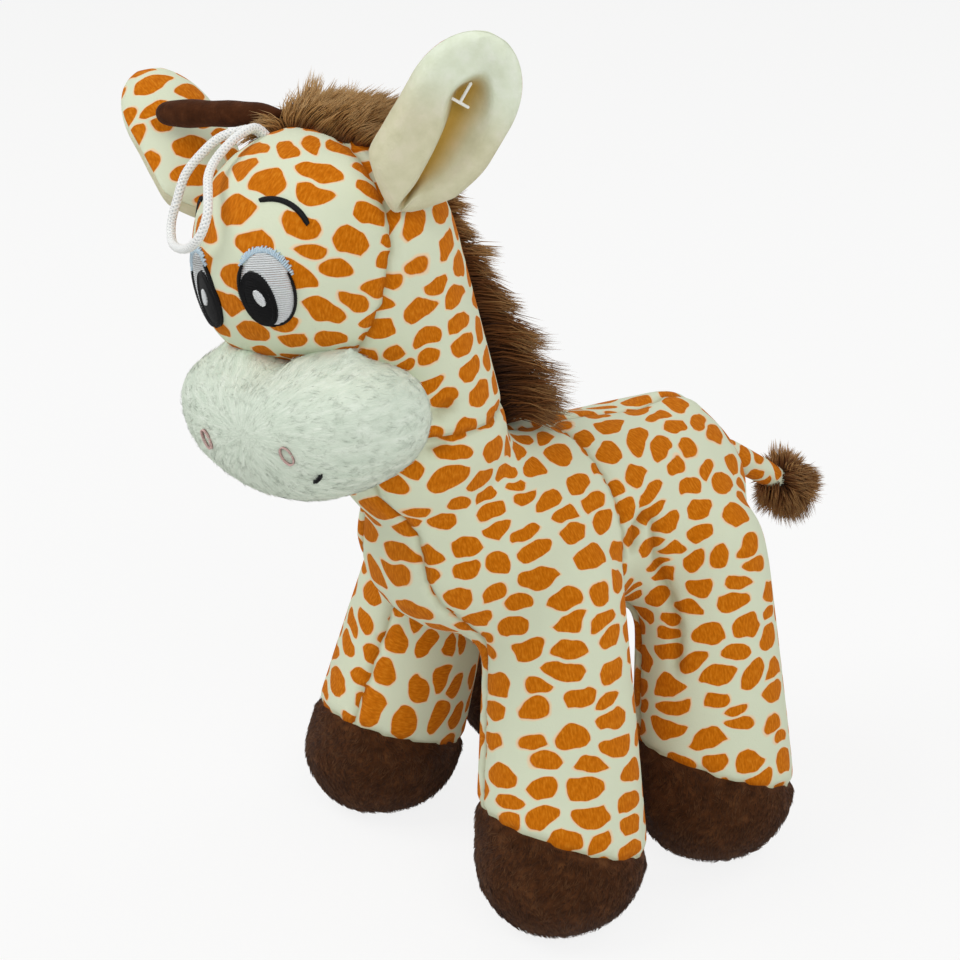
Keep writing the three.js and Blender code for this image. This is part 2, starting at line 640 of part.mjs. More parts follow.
function addFace(group) {
  for (const [side, sign] of [['left', 1], ['right', -1]]) {
    const add = (name, thread, color) => group.add(piece(`${name}_${side}`, thread, color, 0.5));
    const onFace = (out, up) => {
      const rest = 1 - (out / HEAD_HALF_WIDTH) ** 2 - (up / HEAD_HALF_HEIGHT) ** 2;
      return new THREE.Vector3(sign * out, -HEAD_HALF_LENGTH * Math.sqrt(rest), up);
    };
    const eye = stitchFrame(headBulb, onFace(EYE_OUT, -EYE_DOWN), sign * EYE_LEAN);
    add('eye_white', patch(eye, EYE_HALF_WIDTH, EYE_HALF_HEIGHT, 0, 0), WHITE);
    add('eye_pupil', patch(eye, PUPIL_HALF_WIDTH, PUPIL_HALF_HEIGHT, PUPIL_DOWN, 1), BLACK);
    add('eye_glint', patch(eye, GLINT_HALF_WIDTH, GLINT_HALF_HEIGHT, PUPIL_DOWN, 2), WHITE);
    const [lidWidth, lidHeight] = [EYE_HALF_WIDTH + 2 * GAP, EYE_HALF_HEIGHT + 2 * GAP];
    add('eye_lid', stitchedLine(eye, lidWidth, lidHeight, LID_WIDTH, LID_FROM, 180 - LID_FROM), LID_BLUE);
    const brow = stitchFrame(headBulb, onFace(BROW_OUT, BROW_UP), -sign * BROW_LEAN);
    const [browFrom, browTo] = [90 - BROW_ARC / 2, 90 + BROW_ARC / 2];
    add('brow', stitchedLine(brow, BROW_RADIUS, BROW_RADIUS, BROW_WIDTH, browFrom, browTo), BLACK);
    const nostrilSeat = new THREE.Vector3(sign * NOSTRIL_OUT, -MUZZLE_HALF_LENGTH, -NOSTRIL_DOWN);
    const nostril = stitchFrame(muzzleBulb, nostrilSeat, 0);
    const [nostrilWidth, nostrilHeight] = [NOSTRIL_HALF_WIDTH, NOSTRIL_HALF_HEIGHT];
    const outline = stitchedLine(nostril, nostrilWidth, nostrilHeight, NOSTRIL_LINE, 0, NOSTRIL_TURN);
    add('nostril', outline, PINK);
    const mouthSeat = new THREE.Vector3(sign * MOUTH_OUT, -MUZZLE_HALF_LENGTH, -MOUTH_DOWN);
    const mouth = stitchFrame(muzzleBulb, mouthSeat, sign * MOUTH_LEAN);
    add('mouth_stitch', patch(mouth, MOUTH_LENGTH / 2, MOUTH_WIDTH / 2, 0, 0), BLACK);
  }
}

// Ears and horns, in groups that stand at their roots

function earWidth(share) {
  if (share > EAR_WIDEST) {
    return EAR_HALF_WIDTH * Math.sqrt(1 - ((share - EAR_WIDEST) / (1 - EAR_WIDEST)) ** 2);
  }
  return lerp(EAR_ROOT_HALF_WIDTH, EAR_HALF_WIDTH, smoothstep(share, 0, EAR_WIDEST));
}

// One layer of the leaf: length along X, width along Y, back of the ear towards +Z
function earLayer(sign) {
  const rings = [];
  for (let i = 0; i <= EAR_STEPS; i += 1) {
    const share = Math.sin((Math.PI / 2) * (i / EAR_STEPS));
    const width = earWidth(share);
    const cup = EAR_CUP * (width / EAR_HALF_WIDTH) ** 2 * smoothstep(share, 0, EAR_WIDEST);
    const at = (q, height) => new THREE.Vector3(share * EAR_LENGTH, q * width, cup * (1 - q * q) + height);
    const near = [];
    const away = [];
    for (let k = 0; k <= EAR_SPREAD; k += 1) {
      const q = -Math.cos((Math.PI * k) / EAR_SPREAD);
      const thick = EAR_LAYER * (0.4 + 0.6 * Math.sqrt(1 - q * q));
      near.push(at(q, (sign * GAP) / 2));
      away.unshift(at(q, sign * (GAP / 2 + thick)));
    }
    rings.push(i === EAR_STEPS ? [at(0, sign * (GAP / 2 + EAR_LAYER / 4))] : [...near, ...away]);
  }
  return toSolid(loft(rings));
}

// Swing tag's fastener: a bar across the lining, with its stem towards the ear's tip
function buildBarb() {
  const bar = new THREE.CapsuleGeometry(BARB_RADIUS, BARB_LENGTH - 2 * BARB_RADIUS, 3, 8);
  const stem = new THREE.CapsuleGeometry(BARB_RADIUS, BARB_STEM, 3, 8).rotateZ(Math.PI / 2);
  stem.translate(BARB_STEM / 2, 0, 0);
  const width = earWidth(BARB_AT);
  const cup = EAR_CUP * (width / EAR_HALF_WIDTH) ** 2;
  const height = cup - GAP / 2 - EAR_LAYER - BARB_LIFT - BARB_RADIUS;
  return toSolid(bar).add(toSolid(stem)).translate([BARB_AT * EAR_LENGTH, 0, height]);
}

function pointing(sign, lift, sweep) {
  return new THREE.Vector3(sign * Math.cos(rad(sweep)), Math.sin(rad(sweep)), 0)
    .multiplyScalar(Math.cos(rad(lift))).addScaledVector(Z_AXIS, Math.sin(rad(lift)));
}

function buildEar(side, sign, twist) {
  const group = new THREE.Group();
  const seat = EAR_SEAT.clone().multiply(new THREE.Vector3(sign, 1, 1));
  group.position.copy(onBulb(headBulb, seat, GAP));
  const length = pointing(sign, EAR_LIFT, EAR_SWEEP);
  const back = Y_AXIS.clone().addScaledVector(length, -length.y).normalize();
  back.applyAxisAngle(length, sign * rad(twist));
  const width = new THREE.Vector3().crossVectors(back, length);
  group.quaternion.setFromRotationMatrix(new THREE.Matrix4().makeBasis(length, width, back));
  group.updateMatrix();
  const heads = [-EAR_FLOP, 0, EAR_FLOP].map((flop) => {
    const view = new THREE.Matrix4().makeRotationY(rad(flop)).multiply(group.matrix.clone().invert());
    return toSolid(bulbGeometry(headBulb, GAP).applyMatrix4(view));
  });
  group.add(piece(`ear_outer_${side}`, cut(earLayer(1), heads), CREAM));
  group.add(piece(`ear_lining_${side}`, cut(earLayer(-1), heads), LINING));
  if (side === 'left') group.add(piece('tag_barb', buildBarb(), WHITE, 0.4));
  return group;
}

function buildHorn(side, sign, lift, sweep) {
  const group = new THREE.Group();
  const seat = HORN_SEAT.clone().multiply(new THREE.Vector3(sign, 1, 1));
  group.position.copy(onBulb(headBulb, seat, HORN_RADIUS + GAP));
  const run = HORN_LENGTH - HORN_TIP_RADIUS;
  const profile = [];
  for (const [radius, base, from, to] of [[HORN_RADIUS, 0, -90, 0], [HORN_TIP_RADIUS, run, 0, 90]]) {
    for (const share of [0, 0.33, 0.67, 1]) {
      const angle = rad(lerp(from, to, share));
      profile.push(new THREE.Vector2(radius * Math.cos(angle), base + radius * Math.sin(angle)));
    }
  }
  const roll = new THREE.LatheGeometry(profile, LEG_SIDES);
  roll.applyQuaternion(new THREE.Quaternion().setFromUnitVectors(Y_AXIS, pointing(sign, lift, sweep)));
  group.add(piece(`horn_${side}`, toSolid(roll), HORN_BROWN));
  return group;
}

// Hang loop: a soft cord sewn into the crown

function buildLoop() {
  const route = new THREE.CatmullRomCurve3(LOOP_ROUTE);
  const round = ellipse(new THREE.Vector3(), X_AXIS, Y_AXIS, LOOP_RADIUS, LOOP_RADIUS, LOOP_SIDES);
  const section = new THREE.Shape(round);
  const steps = Math.round(route.getLength() / LOOP_STEP);
  const tube = new THREE.ExtrudeGeometry(section, { steps, extrudePath: route, bevelEnabled: false });
  return toSolid(tube);
}

// Tail

const tailPivot = new THREE.Vector3(0, RUMP_Y, rumpZ + TAIL_ABOVE_AXIS);

function buildTail() {
  const along = new THREE.Vector3(0, Math.cos(rad(TAIL_DROP)), -Math.sin(rad(TAIL_DROP)));
  const aim = new THREE.Quaternion().setFromUnitVectors(Y_AXIS, along);
  const tubeForm = (grow) => {
    const tube = new THREE.CapsuleGeometry(TAIL_RADIUS + grow, TAIL_LENGTH, 4, LEG_SIDES);
    return toSolid(tube.translate(0, TAIL_LENGTH / 2, 0).applyQuaternion(aim));
  };
  const tuft = new THREE.SphereGeometry(1, 14, 9).scale(TUFT_RADIUS, TUFT_HALF_LENGTH, TUFT_RADIUS);
  tuft.translate(0, TUFT_REACH, 0).applyQuaternion(aim);
  const rump = torsoForm(GAP).translate(-tailPivot.x, -tailPivot.y, -tailPivot.z);
  const origin = new THREE.Vector3();
  const rumps = [-TAIL_SWING, 0, TAIL_SWING].map((swing) => toSolid(turned(rump, origin, X_AXIS, swing)));
  const group = new THREE.Group();
  group.position.copy(tailPivot);
  group.add(piece('tail_tube', cut(tubeForm(0), rumps), CREAM));
  group.add(piece('tail_tuft', cut(toSolid(tuft), [tubeForm(GAP)]), FUR));
  return group;
}

// Torso's panels, with room for the legs and for the neck's ball

function buildTorso() {
  const group = new THREE.Group();
  const neckRoom = ball(roomRadius(NECK_RADIUS)).translate(neckPivot.toArray());
  const rooms = [...legs.map(legRoom), neckRoom];
  const shell = cut(toSolid(torsoForm(0)), [toSolid(torsoForm(-CLOTH)), ...rooms]);
  const axis = new THREE.Vector3(0, RUMP_Y - CHEST_Y, rumpZ - chestZ).normalize();
  const up = new THREE.Vector3().crossVectors(X_AXIS, axis);
  const seam = new THREE.Vector3(0, CHEST_Y, chestZ).addScaledVector(up, -BELLY_SEAM_DROP);
  const above = halfSpace(seam.clone().addScaledVector(up, GAP / 2), up);
  const below = halfSpace(seam.clone().addScaledVector(up, -GAP / 2), up.clone().negate());
  for (const [side, sign] of [['left', 1], ['right', -1]]) {
    const half = halfSpace(new THREE.Vector3((sign * GAP) / 2, 0, 0), X_AXIS.clone().multiplyScalar(sign));
    group.add(piece(`torso_panel_${side}`, shell.intersect(half).intersect(above), CREAM));
  }
  group.add(piece('belly_panel', shell.intersect(below), CREAM));
  group.add(piece('torso_stuffing', cut(toSolid(torsoForm(-CLOTH - GAP)), rooms), FIBRE));
  return group;
}

// Assembly

const giraffe = new THREE.Group();
giraffe.add(buildTorso());
for (const leg of legs) giraffe.add(buildLeg(leg));
giraffe.add(buildTail());

const neck = new THREE.Group();
neck.position.copy(neckPivot);
neck.add(piece('neck_stuffing', buildNeckBowl(), FIBRE));
giraffe.add(neck);

const head = buildHead();
head.quaternion.copy(cocked);
addFace(head);
head.add(buildEar('left', 1, EAR_TWIST_LEFT));
head.add(buildEar('right', -1, EAR_TWIST_RIGHT));
head.add(buildHorn('left', 1, HORN_LIFT_LEFT, HORN_SWEEP_LEFT));
head.add(buildHorn('right', -1, HORN_LIFT_RIGHT, HORN_SWEEP_RIGHT));
neck.add(head);

// The origin is the middle of the toy's footprint, measured without the loop
const box = new THREE.Box3().setFromObject(giraffe, true);
giraffe.position.set(-(box.min.x + box.max.x) / 2, -(box.min.y + box.max.y) / 2, -box.min.z);
head.add(piece('hang_loop', buildLoop(), WHITE, 0.8));

export default giraffe;
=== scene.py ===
import json
import math

import bpy
import numpy as np
from mathutils import Matrix, Vector
from mathutils.bvhtree import BVHTree
from mathutils.kdtree import KDTree

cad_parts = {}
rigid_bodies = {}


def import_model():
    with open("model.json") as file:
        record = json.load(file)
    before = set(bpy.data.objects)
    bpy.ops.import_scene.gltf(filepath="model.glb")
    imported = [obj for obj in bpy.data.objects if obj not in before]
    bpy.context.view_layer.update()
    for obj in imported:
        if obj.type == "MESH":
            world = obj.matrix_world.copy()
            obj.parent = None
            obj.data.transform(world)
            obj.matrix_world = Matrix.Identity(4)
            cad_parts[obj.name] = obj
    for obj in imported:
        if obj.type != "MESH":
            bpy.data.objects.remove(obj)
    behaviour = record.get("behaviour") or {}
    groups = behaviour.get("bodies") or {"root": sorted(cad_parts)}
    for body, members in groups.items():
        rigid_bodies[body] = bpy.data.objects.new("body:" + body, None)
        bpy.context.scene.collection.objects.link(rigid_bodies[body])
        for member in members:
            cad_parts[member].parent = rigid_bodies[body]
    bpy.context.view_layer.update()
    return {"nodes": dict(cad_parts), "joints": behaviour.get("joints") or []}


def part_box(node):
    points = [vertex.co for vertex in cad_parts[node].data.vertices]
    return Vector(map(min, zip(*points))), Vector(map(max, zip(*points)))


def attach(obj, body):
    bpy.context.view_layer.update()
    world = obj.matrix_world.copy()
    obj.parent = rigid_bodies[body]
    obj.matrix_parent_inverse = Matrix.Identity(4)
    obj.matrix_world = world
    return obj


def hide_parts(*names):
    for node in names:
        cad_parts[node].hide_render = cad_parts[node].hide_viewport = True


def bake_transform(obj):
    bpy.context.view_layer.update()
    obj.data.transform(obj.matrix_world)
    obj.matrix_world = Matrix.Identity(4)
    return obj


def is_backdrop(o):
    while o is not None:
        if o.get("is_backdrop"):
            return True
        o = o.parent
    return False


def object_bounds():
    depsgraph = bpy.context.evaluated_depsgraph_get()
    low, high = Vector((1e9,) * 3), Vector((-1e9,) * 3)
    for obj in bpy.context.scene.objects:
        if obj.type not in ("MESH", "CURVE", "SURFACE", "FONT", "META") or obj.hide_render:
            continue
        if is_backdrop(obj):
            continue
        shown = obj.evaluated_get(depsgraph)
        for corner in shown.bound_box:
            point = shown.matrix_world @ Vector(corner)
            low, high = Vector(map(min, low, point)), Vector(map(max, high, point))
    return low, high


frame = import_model()
joints = {joint["name"]: joint for joint in frame["joints"]}
mm = 0.001
middleX = joints["tail_lift"]["pos_m"][0]  # the toy's mirror plane
bothSides = (("left", 1), ("right", -1))
legNames = ("front_left", "front_right", "hind_left", "hind_right")
print("frame loaded,", len(frame["nodes"]), "solids")


# small hand tools

facesOut = (bpy.ops.mesh.normals_make_consistent, {"inside": False})


def onlySelect(*objs):  # the first is the active one
    bpy.ops.object.select_all(action="DESELECT")
    for obj in objs:
        obj.select_set(True)
    bpy.context.view_layer.objects.active = objs[0]


def editAll(obj, *steps):  # edit-mode operators on the whole mesh
    onlySelect(obj)
    bpy.ops.object.mode_set(mode="EDIT")
    bpy.ops.mesh.select_all(action="SELECT")
    for operator, settings in steps:
        operator(**settings)
    bpy.ops.object.mode_set(mode="OBJECT")


def smoothLook(obj):
    onlySelect(obj)
    bpy.ops.object.shade_smooth()


def applyModifier(obj, kind, **settings):
    onlySelect(obj)
    bpy.ops.object.modifier_add(type=kind)
    modifier = obj.modifiers[-1]
    for key, value in settings.items():
        setattr(modifier, key, value)
    bpy.ops.object.modifier_apply(modifier=modifier.name)


def readAll(items, key, width=1, kind=np.float32):  # one value of every point, edge, corner or face
    found = np.empty(len(items) * width, kind)
    items.foreach_get(key, found)
    found = found.astype(float) if kind == np.float32 else found
    return found.reshape(-1, width) if width > 1 else found


def coordsOf(obj):
    return readAll(obj.data.vertices, "co", 3)


def normalsOf(obj):
    return readAll(obj.data.vertex_normals, "vector", 3)


def facesOf(obj):
    return readAll(obj.data.polygons, "center", 3)


def cornersOf(obj):
    return readAll(obj.data.loops, "vertex_index", 1, np.int32)


def setCoords(obj, points):
    obj.data.vertices.foreach_set("co", points.astype(np.float32).ravel())
    obj.data.update()


def pushOut(obj, far):
    setCoords(obj, coordsOf(obj) + normalsOf(obj) * np.reshape(far, (-1, 1)))


def keepAbove(obj, level):
    points = coordsOf(obj)
    points[:, 2] = np.maximum(points[:, 2], level)
    setCoords(obj, points)


def addLayer(obj, name, values, kind="FLOAT", domain="POINT"):
    layer = obj.data.attributes.new(name, kind, domain)
    key = "vector" if kind == "FLOAT_VECTOR" else "value"
    layer.data.foreach_set(key, values.astype(np.int32 if kind == "INT" else np.float32).ravel())


def setMap(obj, spots):  # the print's cloth map, one unit to 100 mm
    layers = obj.data.uv_layers
    layer = layers.get("print") or layers.new(name="print")
    layer.data.foreach_set("uv", spots.astype(np.float32).ravel())


def treeOf(spots):
    tree = KDTree(len(spots))
    for index, spot in enumerate(spots):
        tree.insert(spot, index)
    tree.balance()
    return tree


def unit(vectors):
    return vectors / np.maximum(np.linalg.norm(vectors, axis=-1, keepdims=True), 1e-12)


def smoothStep(low, high, value):
    t = np.clip((value - low) / (high - low), 0, 1)
    return t * t * (3 - 2 * t)


def hump(value, middle, width):
    return np.exp(-((value - middle) / width) ** 2)


def evenLine(spots, step):  # a line's points at even steps, and how far along each lies
    run = np.r_[0, np.cumsum(np.linalg.norm(np.diff(spots, axis=0), axis=1))]
    even = step(run[-1])
    return np.stack([np.interp(even, run, spots[:, k]) for k in range(3)], axis=1), even, run[-1]


def meshFrom(name, points, corners, values=None):  # a closed shape from points and triangles
    mesh = bpy.data.meshes.new(name)
    mesh.vertices.add(len(points))
    mesh.vertices.foreach_set("co", points.astype(np.float32).ravel())
    mesh.loops.add(corners.size)
    mesh.loops.foreach_set("vertex_index", corners.astype(np.int32).ravel())
    mesh.polygons.add(len(corners))
    mesh.polygons.foreach_set("loop_start", np.arange(0, corners.size, 3, dtype=np.int32))
    mesh.update(calc_edges=True)
    obj = bpy.data.objects.new(name, mesh)
    bpy.context.scene.collection.objects.link(obj)
    for key, numbers in (values or {}).items():
        addLayer(obj, key, numbers)
    smoothLook(obj)
    return obj


def dress(obj, cloth, finish, *nodes, body=None, fill=None):  # its cloth and body, and the solids it stands for
    obj.data.materials.append(cloth)
    if body:
        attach(obj, body)
    if nodes:
        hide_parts(*nodes)


def linear(hexColour):  # sRGB hex to the shader's linear colour
    parts = [int(hexColour[i:i + 2], 16) / 255 for i in (1, 3, 5)]
    return tuple(p / 12.92 if p <= 0.04045 else ((p + 0.055) / 1.055) ** 2.4 for p in parts) + (1.0,)


def openSocket(sockets, name=None):  # the first socket in use, or the one of this name
    return next(s for s in sockets if s.enabled and name in (None, s.name))


def feed(tree, node, feeds):  # links from nodes and sockets, and fixed values; a hex is a colour
    for key, value in feeds.items():
        socket = node.inputs[key] if isinstance(key, int) else openSocket(node.inputs, key)
        if isinstance(value, bpy.types.Node):
            value = openSocket(value.outputs)
        if isinstance(value, bpy.types.NodeSocket):
            tree.links.new(value, socket)
        else:
            socket.default_value = linear(value) if isinstance(value, str) else value


def addNode(tree, kind, feeds=None, **settings):
    node = tree.nodes.new("ShaderNode" + kind)
    for key, value in settings.items():
        setattr(node, key, value)
    feed(tree, node, feeds or {})
    return node


def newMaterial(name, finish=None):
    material = bpy.data.materials.new(name)
    material.use_nodes = True
    tree = material.node_tree
    tree.nodes.clear()
    shader = addNode(tree, "BsdfPrincipled", finish)
    addNode(tree, "OutputMaterial", {"Surface": shader})
    return material, tree, shader


def setRamp(node, stops):
    ramp = node.color_ramp
    while len(ramp.elements) < len(stops):
        ramp.elements.new(1.0)
    for element, (place, colour) in zip(ramp.elements, stops):
        element.position = place
        element.color = linear(colour)
    return node


# camera, floor and light

photoView = {"target": (9.3, -3.6, 150.0), "azimuth": 50.0, "elevation": 21.8, "distance": 750.0,
             "lens": 78.75, "shift": (-0.0681, -0.0277)}
around, above = math.radians(photoView["azimuth"]), math.radians(photoView["elevation"])
back = Vector((math.sin(around) * math.cos(above), -math.cos(around) * math.cos(above), math.sin(above)))
bpy.ops.object.camera_add(location=(Vector(photoView["target"]) + back * photoView["distance"]) * mm)
camera = bpy.context.object
camera.rotation_euler = (-back).to_track_quat("-Z", "Y").to_euler()
camera.data.lens = photoView["lens"]
camera.data.shift_x, camera.data.shift_y = photoView["shift"]
bpy.context.scene.camera = camera


def whiteRays(tree):  # rays that see the background white: the camera's, and those in a shine or through glass
    path = addNode(tree, "LightPath").outputs
    shine = addNode(tree, "Math", {0: path["Is Camera Ray"], 1: path["Is Glossy Ray"]}, operation="MAXIMUM")
    return addNode(tree, "Math", {0: shine, 1: path["Is Transmission Ray"]}, operation="MAXIMUM")


studio = {"floor": 40.0, "paper": "#e6e6e4", "paperGlow": 0.85, "sky": 0.34, "aim": (0, 0, 0.14),
          "lamps": [((-0.7, -1.1, 1.6), 1.2, 16.8), ((1.6, -0.6, 1.3), 1.3, 15.0), ((0.5, 1.4, 1.5), 1.2, 8.0)]}
bpy.ops.mesh.primitive_plane_add(size=studio["floor"])
floor = bpy.context.object
floor.name = "floor"
floor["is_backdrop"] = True
paper, tree, shader = newMaterial("matt white paper", {"Base Color": studio["paper"], "Roughness": 0.9})
glow = addNode(tree, "Math", {0: whiteRays(tree), 1: studio["paperGlow"]}, operation="MULTIPLY")
white = addNode(tree, "Emission", {"Color": (1, 1, 1, 1), "Strength": 1.0})
feed(tree, tree.nodes["Material Output"], {"Surface": addNode(tree, "MixShader", {0: glow, 1: shader, 2: white})})
floor.data.materials.append(paper)
for place, size, power in studio["lamps"]:
    bpy.ops.object.light_add(type="AREA", location=place)
    lamp = bpy.context.object
    lamp.data.size = size
    lamp.data.energy = power
    lamp.rotation_euler = (Vector(studio["aim"]) - Vector(place)).to_track_quat("-Z", "Y").to_euler()
sky = bpy.data.worlds.new("white room")
bpy.context.scene.world = sky
sky.use_nodes = True
tree = sky.node_tree
tree.nodes.clear()
bright = addNode(tree, "Mix", {"Factor": whiteRays(tree), "A": studio["sky"], "B": 1.0})
room = addNode(tree, "Background", {"Color": (1, 1, 1, 1), "Strength": bright})
addNode(tree, "OutputWorld", {"Surface": room})
bpy.context.scene.view_settings.view_transform = "Standard"
print("camera, floor and light are set")


# materials

# seam is the colour of the painted shade laid along seams and folds
printCloth = {"cream": "#dce3c9", "orange": "#cb7009", "deep": "#bd6504", "fleck": "#da861f", "halo": "#f0d3ac",
              "seam": "#a5946f", "wide": 15.0, "high": 9.2, "scatter": 0.78, "warp": 3.6, "warpSize": 12.0,
              "corner": 1.25, "edge": 0.05, "fade": 0.04, "haloFrom": 0.11, "haloTo": 0.02, "rag": 0.03,
              "ragSize": 1.1, "streak": (0.7, 2.2), "nap": 0.7, "roll": (3.7, 2.9)}


def makePrint():  # velour with a screen-printed giraffe pattern: matt, soft sheen, ink a little blotchy
    plan, edge = printCloth, printCloth["edge"]
    material, tree, shader = newMaterial("printed polyester velour", {
        "Roughness": 0.92, "Specular IOR Level": 0.06, "Sheen Weight": 0.03, "Sheen Roughness": 0.5})
    cloth = addNode(tree, "UVMap", uv_map="print")  # one unit is 100 mm of cloth
    wave = addNode(tree, "TexNoise", {"Vector": cloth, "Scale": 100 / plan["warpSize"], "Detail": 1.5})
    wander = addNode(tree, "VectorMath", {0: wave.outputs["Color"], 1: (0.5, 0.5, 0.5)}, operation="SUBTRACT")
    reach = plan["warp"] / 100 * 2
    warped = addNode(tree, "VectorMath", {0: wander, 1: (reach, reach, 0), 2: cloth}, operation="MULTIPLY_ADD")
    cells = addNode(tree, "VectorMath", {0: warped, 1: (100 / plan["wide"], 100 / plan["high"], 0)},
                    operation="MULTIPLY")
    first, second = (addNode(tree, "TexVoronoi", {"Vector": cells, "Scale": 1.0, "Randomness": plan["scatter"]},
                             voronoi_dimensions="2D", feature=feature) for feature in ("F1", "F2"))
    gap = addNode(tree, "Math", {0: second, 1: first}, operation="SUBTRACT")
    far = addNode(tree, "Math", {0: first, 1: first}, operation="MULTIPLY")
    inked = addNode(tree, "Math", {0: far, 1: -plan["corner"], 2: gap}, operation="MULTIPLY_ADD")
    grain = addNode(tree, "TexNoise", {"Vector": cloth, "Scale": 100 / plan["ragSize"], "Detail": 3.0})
    ragged = addNode(tree, "Math", {0: grain, 1: plan["rag"], 2: inked}, operation="MULTIPLY_ADD")
    streaks = addNode(tree, "VectorMath", {0: cloth, 1: (100 / plan["streak"][0], 100 / plan["streak"][1], 0)},
                      operation="MULTIPLY")
    blotch = addNode(tree, "TexNoise", {"Vector": streaks, "Scale": 1.0, "Detail": 2.0})
    inkRamp = setRamp(addNode(tree, "ValToRGB", {"Fac": blotch}),
                      [(0.34, plan["deep"]), (0.5, plan["orange"]), (0.75, plan["fleck"])])
    ink = addNode(tree, "MapRange", {"Value": ragged, "From Min": edge, "From Max": edge + plan["fade"]})
    halo = addNode(tree, "MapRange", {"Value": ragged, "From Min": edge - plan["haloFrom"],
                                      "From Max": edge - plan["haloTo"]})
    pale = addNode(tree, "Mix", {"Factor": halo, "A": plan["cream"], "B": plan["halo"]}, data_type="RGBA")
    colour = addNode(tree, "Mix", {"Factor": ink, "A": pale, "B": inkRamp}, data_type="RGBA")
    paintedCreaseShade = addNode(tree, "Attribute", attribute_name="seam").outputs["Fac"]  # painted shade along the seam grooves and fold creases
    sewn = addNode(tree, "Mix", {"Factor": paintedCreaseShade, "A": colour, "B": plan["seam"]}, data_type="RGBA",
                   blend_type="MULTIPLY")
    pile = addNode(tree, "TexNoise", {"Vector": cloth, "Scale": 100 / plan["nap"], "Detail": 2.0})
    bump = addNode(tree, "Bump", {"Height": pile, "Strength": 0.25, "Distance": 0.0005})
    feed(tree, shader, {"Base Color": sewn, "Normal": bump})
    return material


def makePlush(name, shades, nap, strength, paintedHollowShade=None, brushed=None):  # cut pile: patches catch the light differently
    material, tree, shader = newMaterial(name, {"Roughness": 0.95, "Specular IOR Level": 0.06, "Sheen Weight": 0.05})
    place = addNode(tree, "TexCoord").outputs["Object"]
    if brushed:  # streaks that follow the way the pile was brushed
        place = addNode(tree, "Attribute", attribute_name=brushed).outputs["Vector"]
    patch = addNode(tree, "TexNoise", {"Vector": place, "Scale": 1 / (nap * mm), "Detail": 4.0})
    colour = setRamp(addNode(tree, "ValToRGB", {"Fac": patch}), list(zip((0.3, 0.52, 0.72), shades)))
    if paintedHollowShade:  # painted shade and warm reflected light, darkest in the hollow and toward the root
        deep = addNode(tree, "Attribute", attribute_name="hollow").outputs["Fac"]
        colour = addNode(tree, "Mix", {"Factor": deep, "A": colour, "B": paintedHollowShade}, data_type="RGBA",
                         blend_type="MULTIPLY")
    hairs = addNode(tree, "TexNoise", {"Vector": place, "Scale": 1 / (0.8 * mm), "Detail": 2.0})
    bump = addNode(tree, "Bump", {"Height": hairs, "Strength": strength, "Distance": 0.0008})
    feed(tree, shader, {"Base Color": colour, "Normal": bump})
    return material


def makeHair(name, shades, gloss):  # polyester hair: darker at the root, which is painted shade where strands shadow each other; paler and glossier at the tip
    material, tree, shader = newMaterial(name, {"Roughness": gloss, "Specular IOR Level": 0.12, "Sheen Weight": 0.03})
    along = addNode(tree, "Attribute", attribute_name="along").outputs["Fac"]
    tone = addNode(tree, "Attribute", attribute_name="tone").outputs["Fac"]
    mixed = addNode(tree, "Math", {0: tone, 1: 0.45, 2: along}, operation="MULTIPLY_ADD")
    shifted = addNode(tree, "Math", {0: mixed, 1: 0.22}, operation="SUBTRACT")
    feed(tree, shader, {"Base Color": setRamp(addNode(tree, "ValToRGB", {"Fac": shifted}),
                                              list(zip((0.05, 0.55, 1.0), shades)))})
    return material


def makeThread(name, shades, gloss):  # rayon thread: a silky shine along each stitch
    material, tree, shader = newMaterial(name, {"Roughness": gloss, "Specular IOR Level": 0.2})
    place = addNode(tree, "TexCoord").outputs["Object"]
    ply = addNode(tree, "TexNoise", {"Vector": place, "Scale": 1 / (0.6 * mm), "Detail": 2.0})
    feed(tree, shader, {"Base Color": addNode(tree, "Mix", {"Factor": ply, "A": shades[0], "B": shades[1]},
                                              data_type="RGBA")})
    return material


printedVelour = makePrint()
brownPlush = makePlush("brown plush", ("#3d2210", "#4d2d18", "#603c22"), 5.0, 0.6)
creamPlush = makePlush("cream plush", ("#cfdccb", "#dbe6d6", "#e6efe1"), 3.0, 0.35, brushed="brushed")
hornVelour = makePlush("dark brown velour", ("#3a1e0d", "#472612", "#54301a"), 4.0, 0.35)
# cda258 is the painted shade multiplied into the lining's hollow
liningPlush = makePlush("pale ear velour", ("#e0e8cf", "#e8f0da", "#eff5e4"), 5.0, 0.25, "#cda258")
creamHair = makeHair("cream polyester pile", ("#d3dfce", "#dde8d7", "#e8f0e3"), 0.85)
brownHair = makeHair("brown polyester pile", ("#331b0c", "#4e2e19", "#6e4a2e"), 0.7)
maneHair = makeHair("long brown polyester pile", ("#2a1408", "#6e431f", "#b88c58"), 0.6)
crownHair = makeHair("light brown polyester pile", ("#70481f", "#a67c48", "#cba674"), 0.6)
whiteThread = makeThread("white rayon thread", ("#d6dadd", "#f4f5f4"), 0.5)
blackThread = makeThread("black rayon thread", ("#020203", "#0c0c0e"), 0.5)
blueThread = makeThread("pale blue rayon thread", ("#8ab9d4", "#f4f9fb"), 0.5)
pinkThread = makeThread("pink rayon thread", ("#c3a09b", "#d9bcb6"), 0.6)
print("materials are made")


# head frame: the head's own axes, cocked about the neck

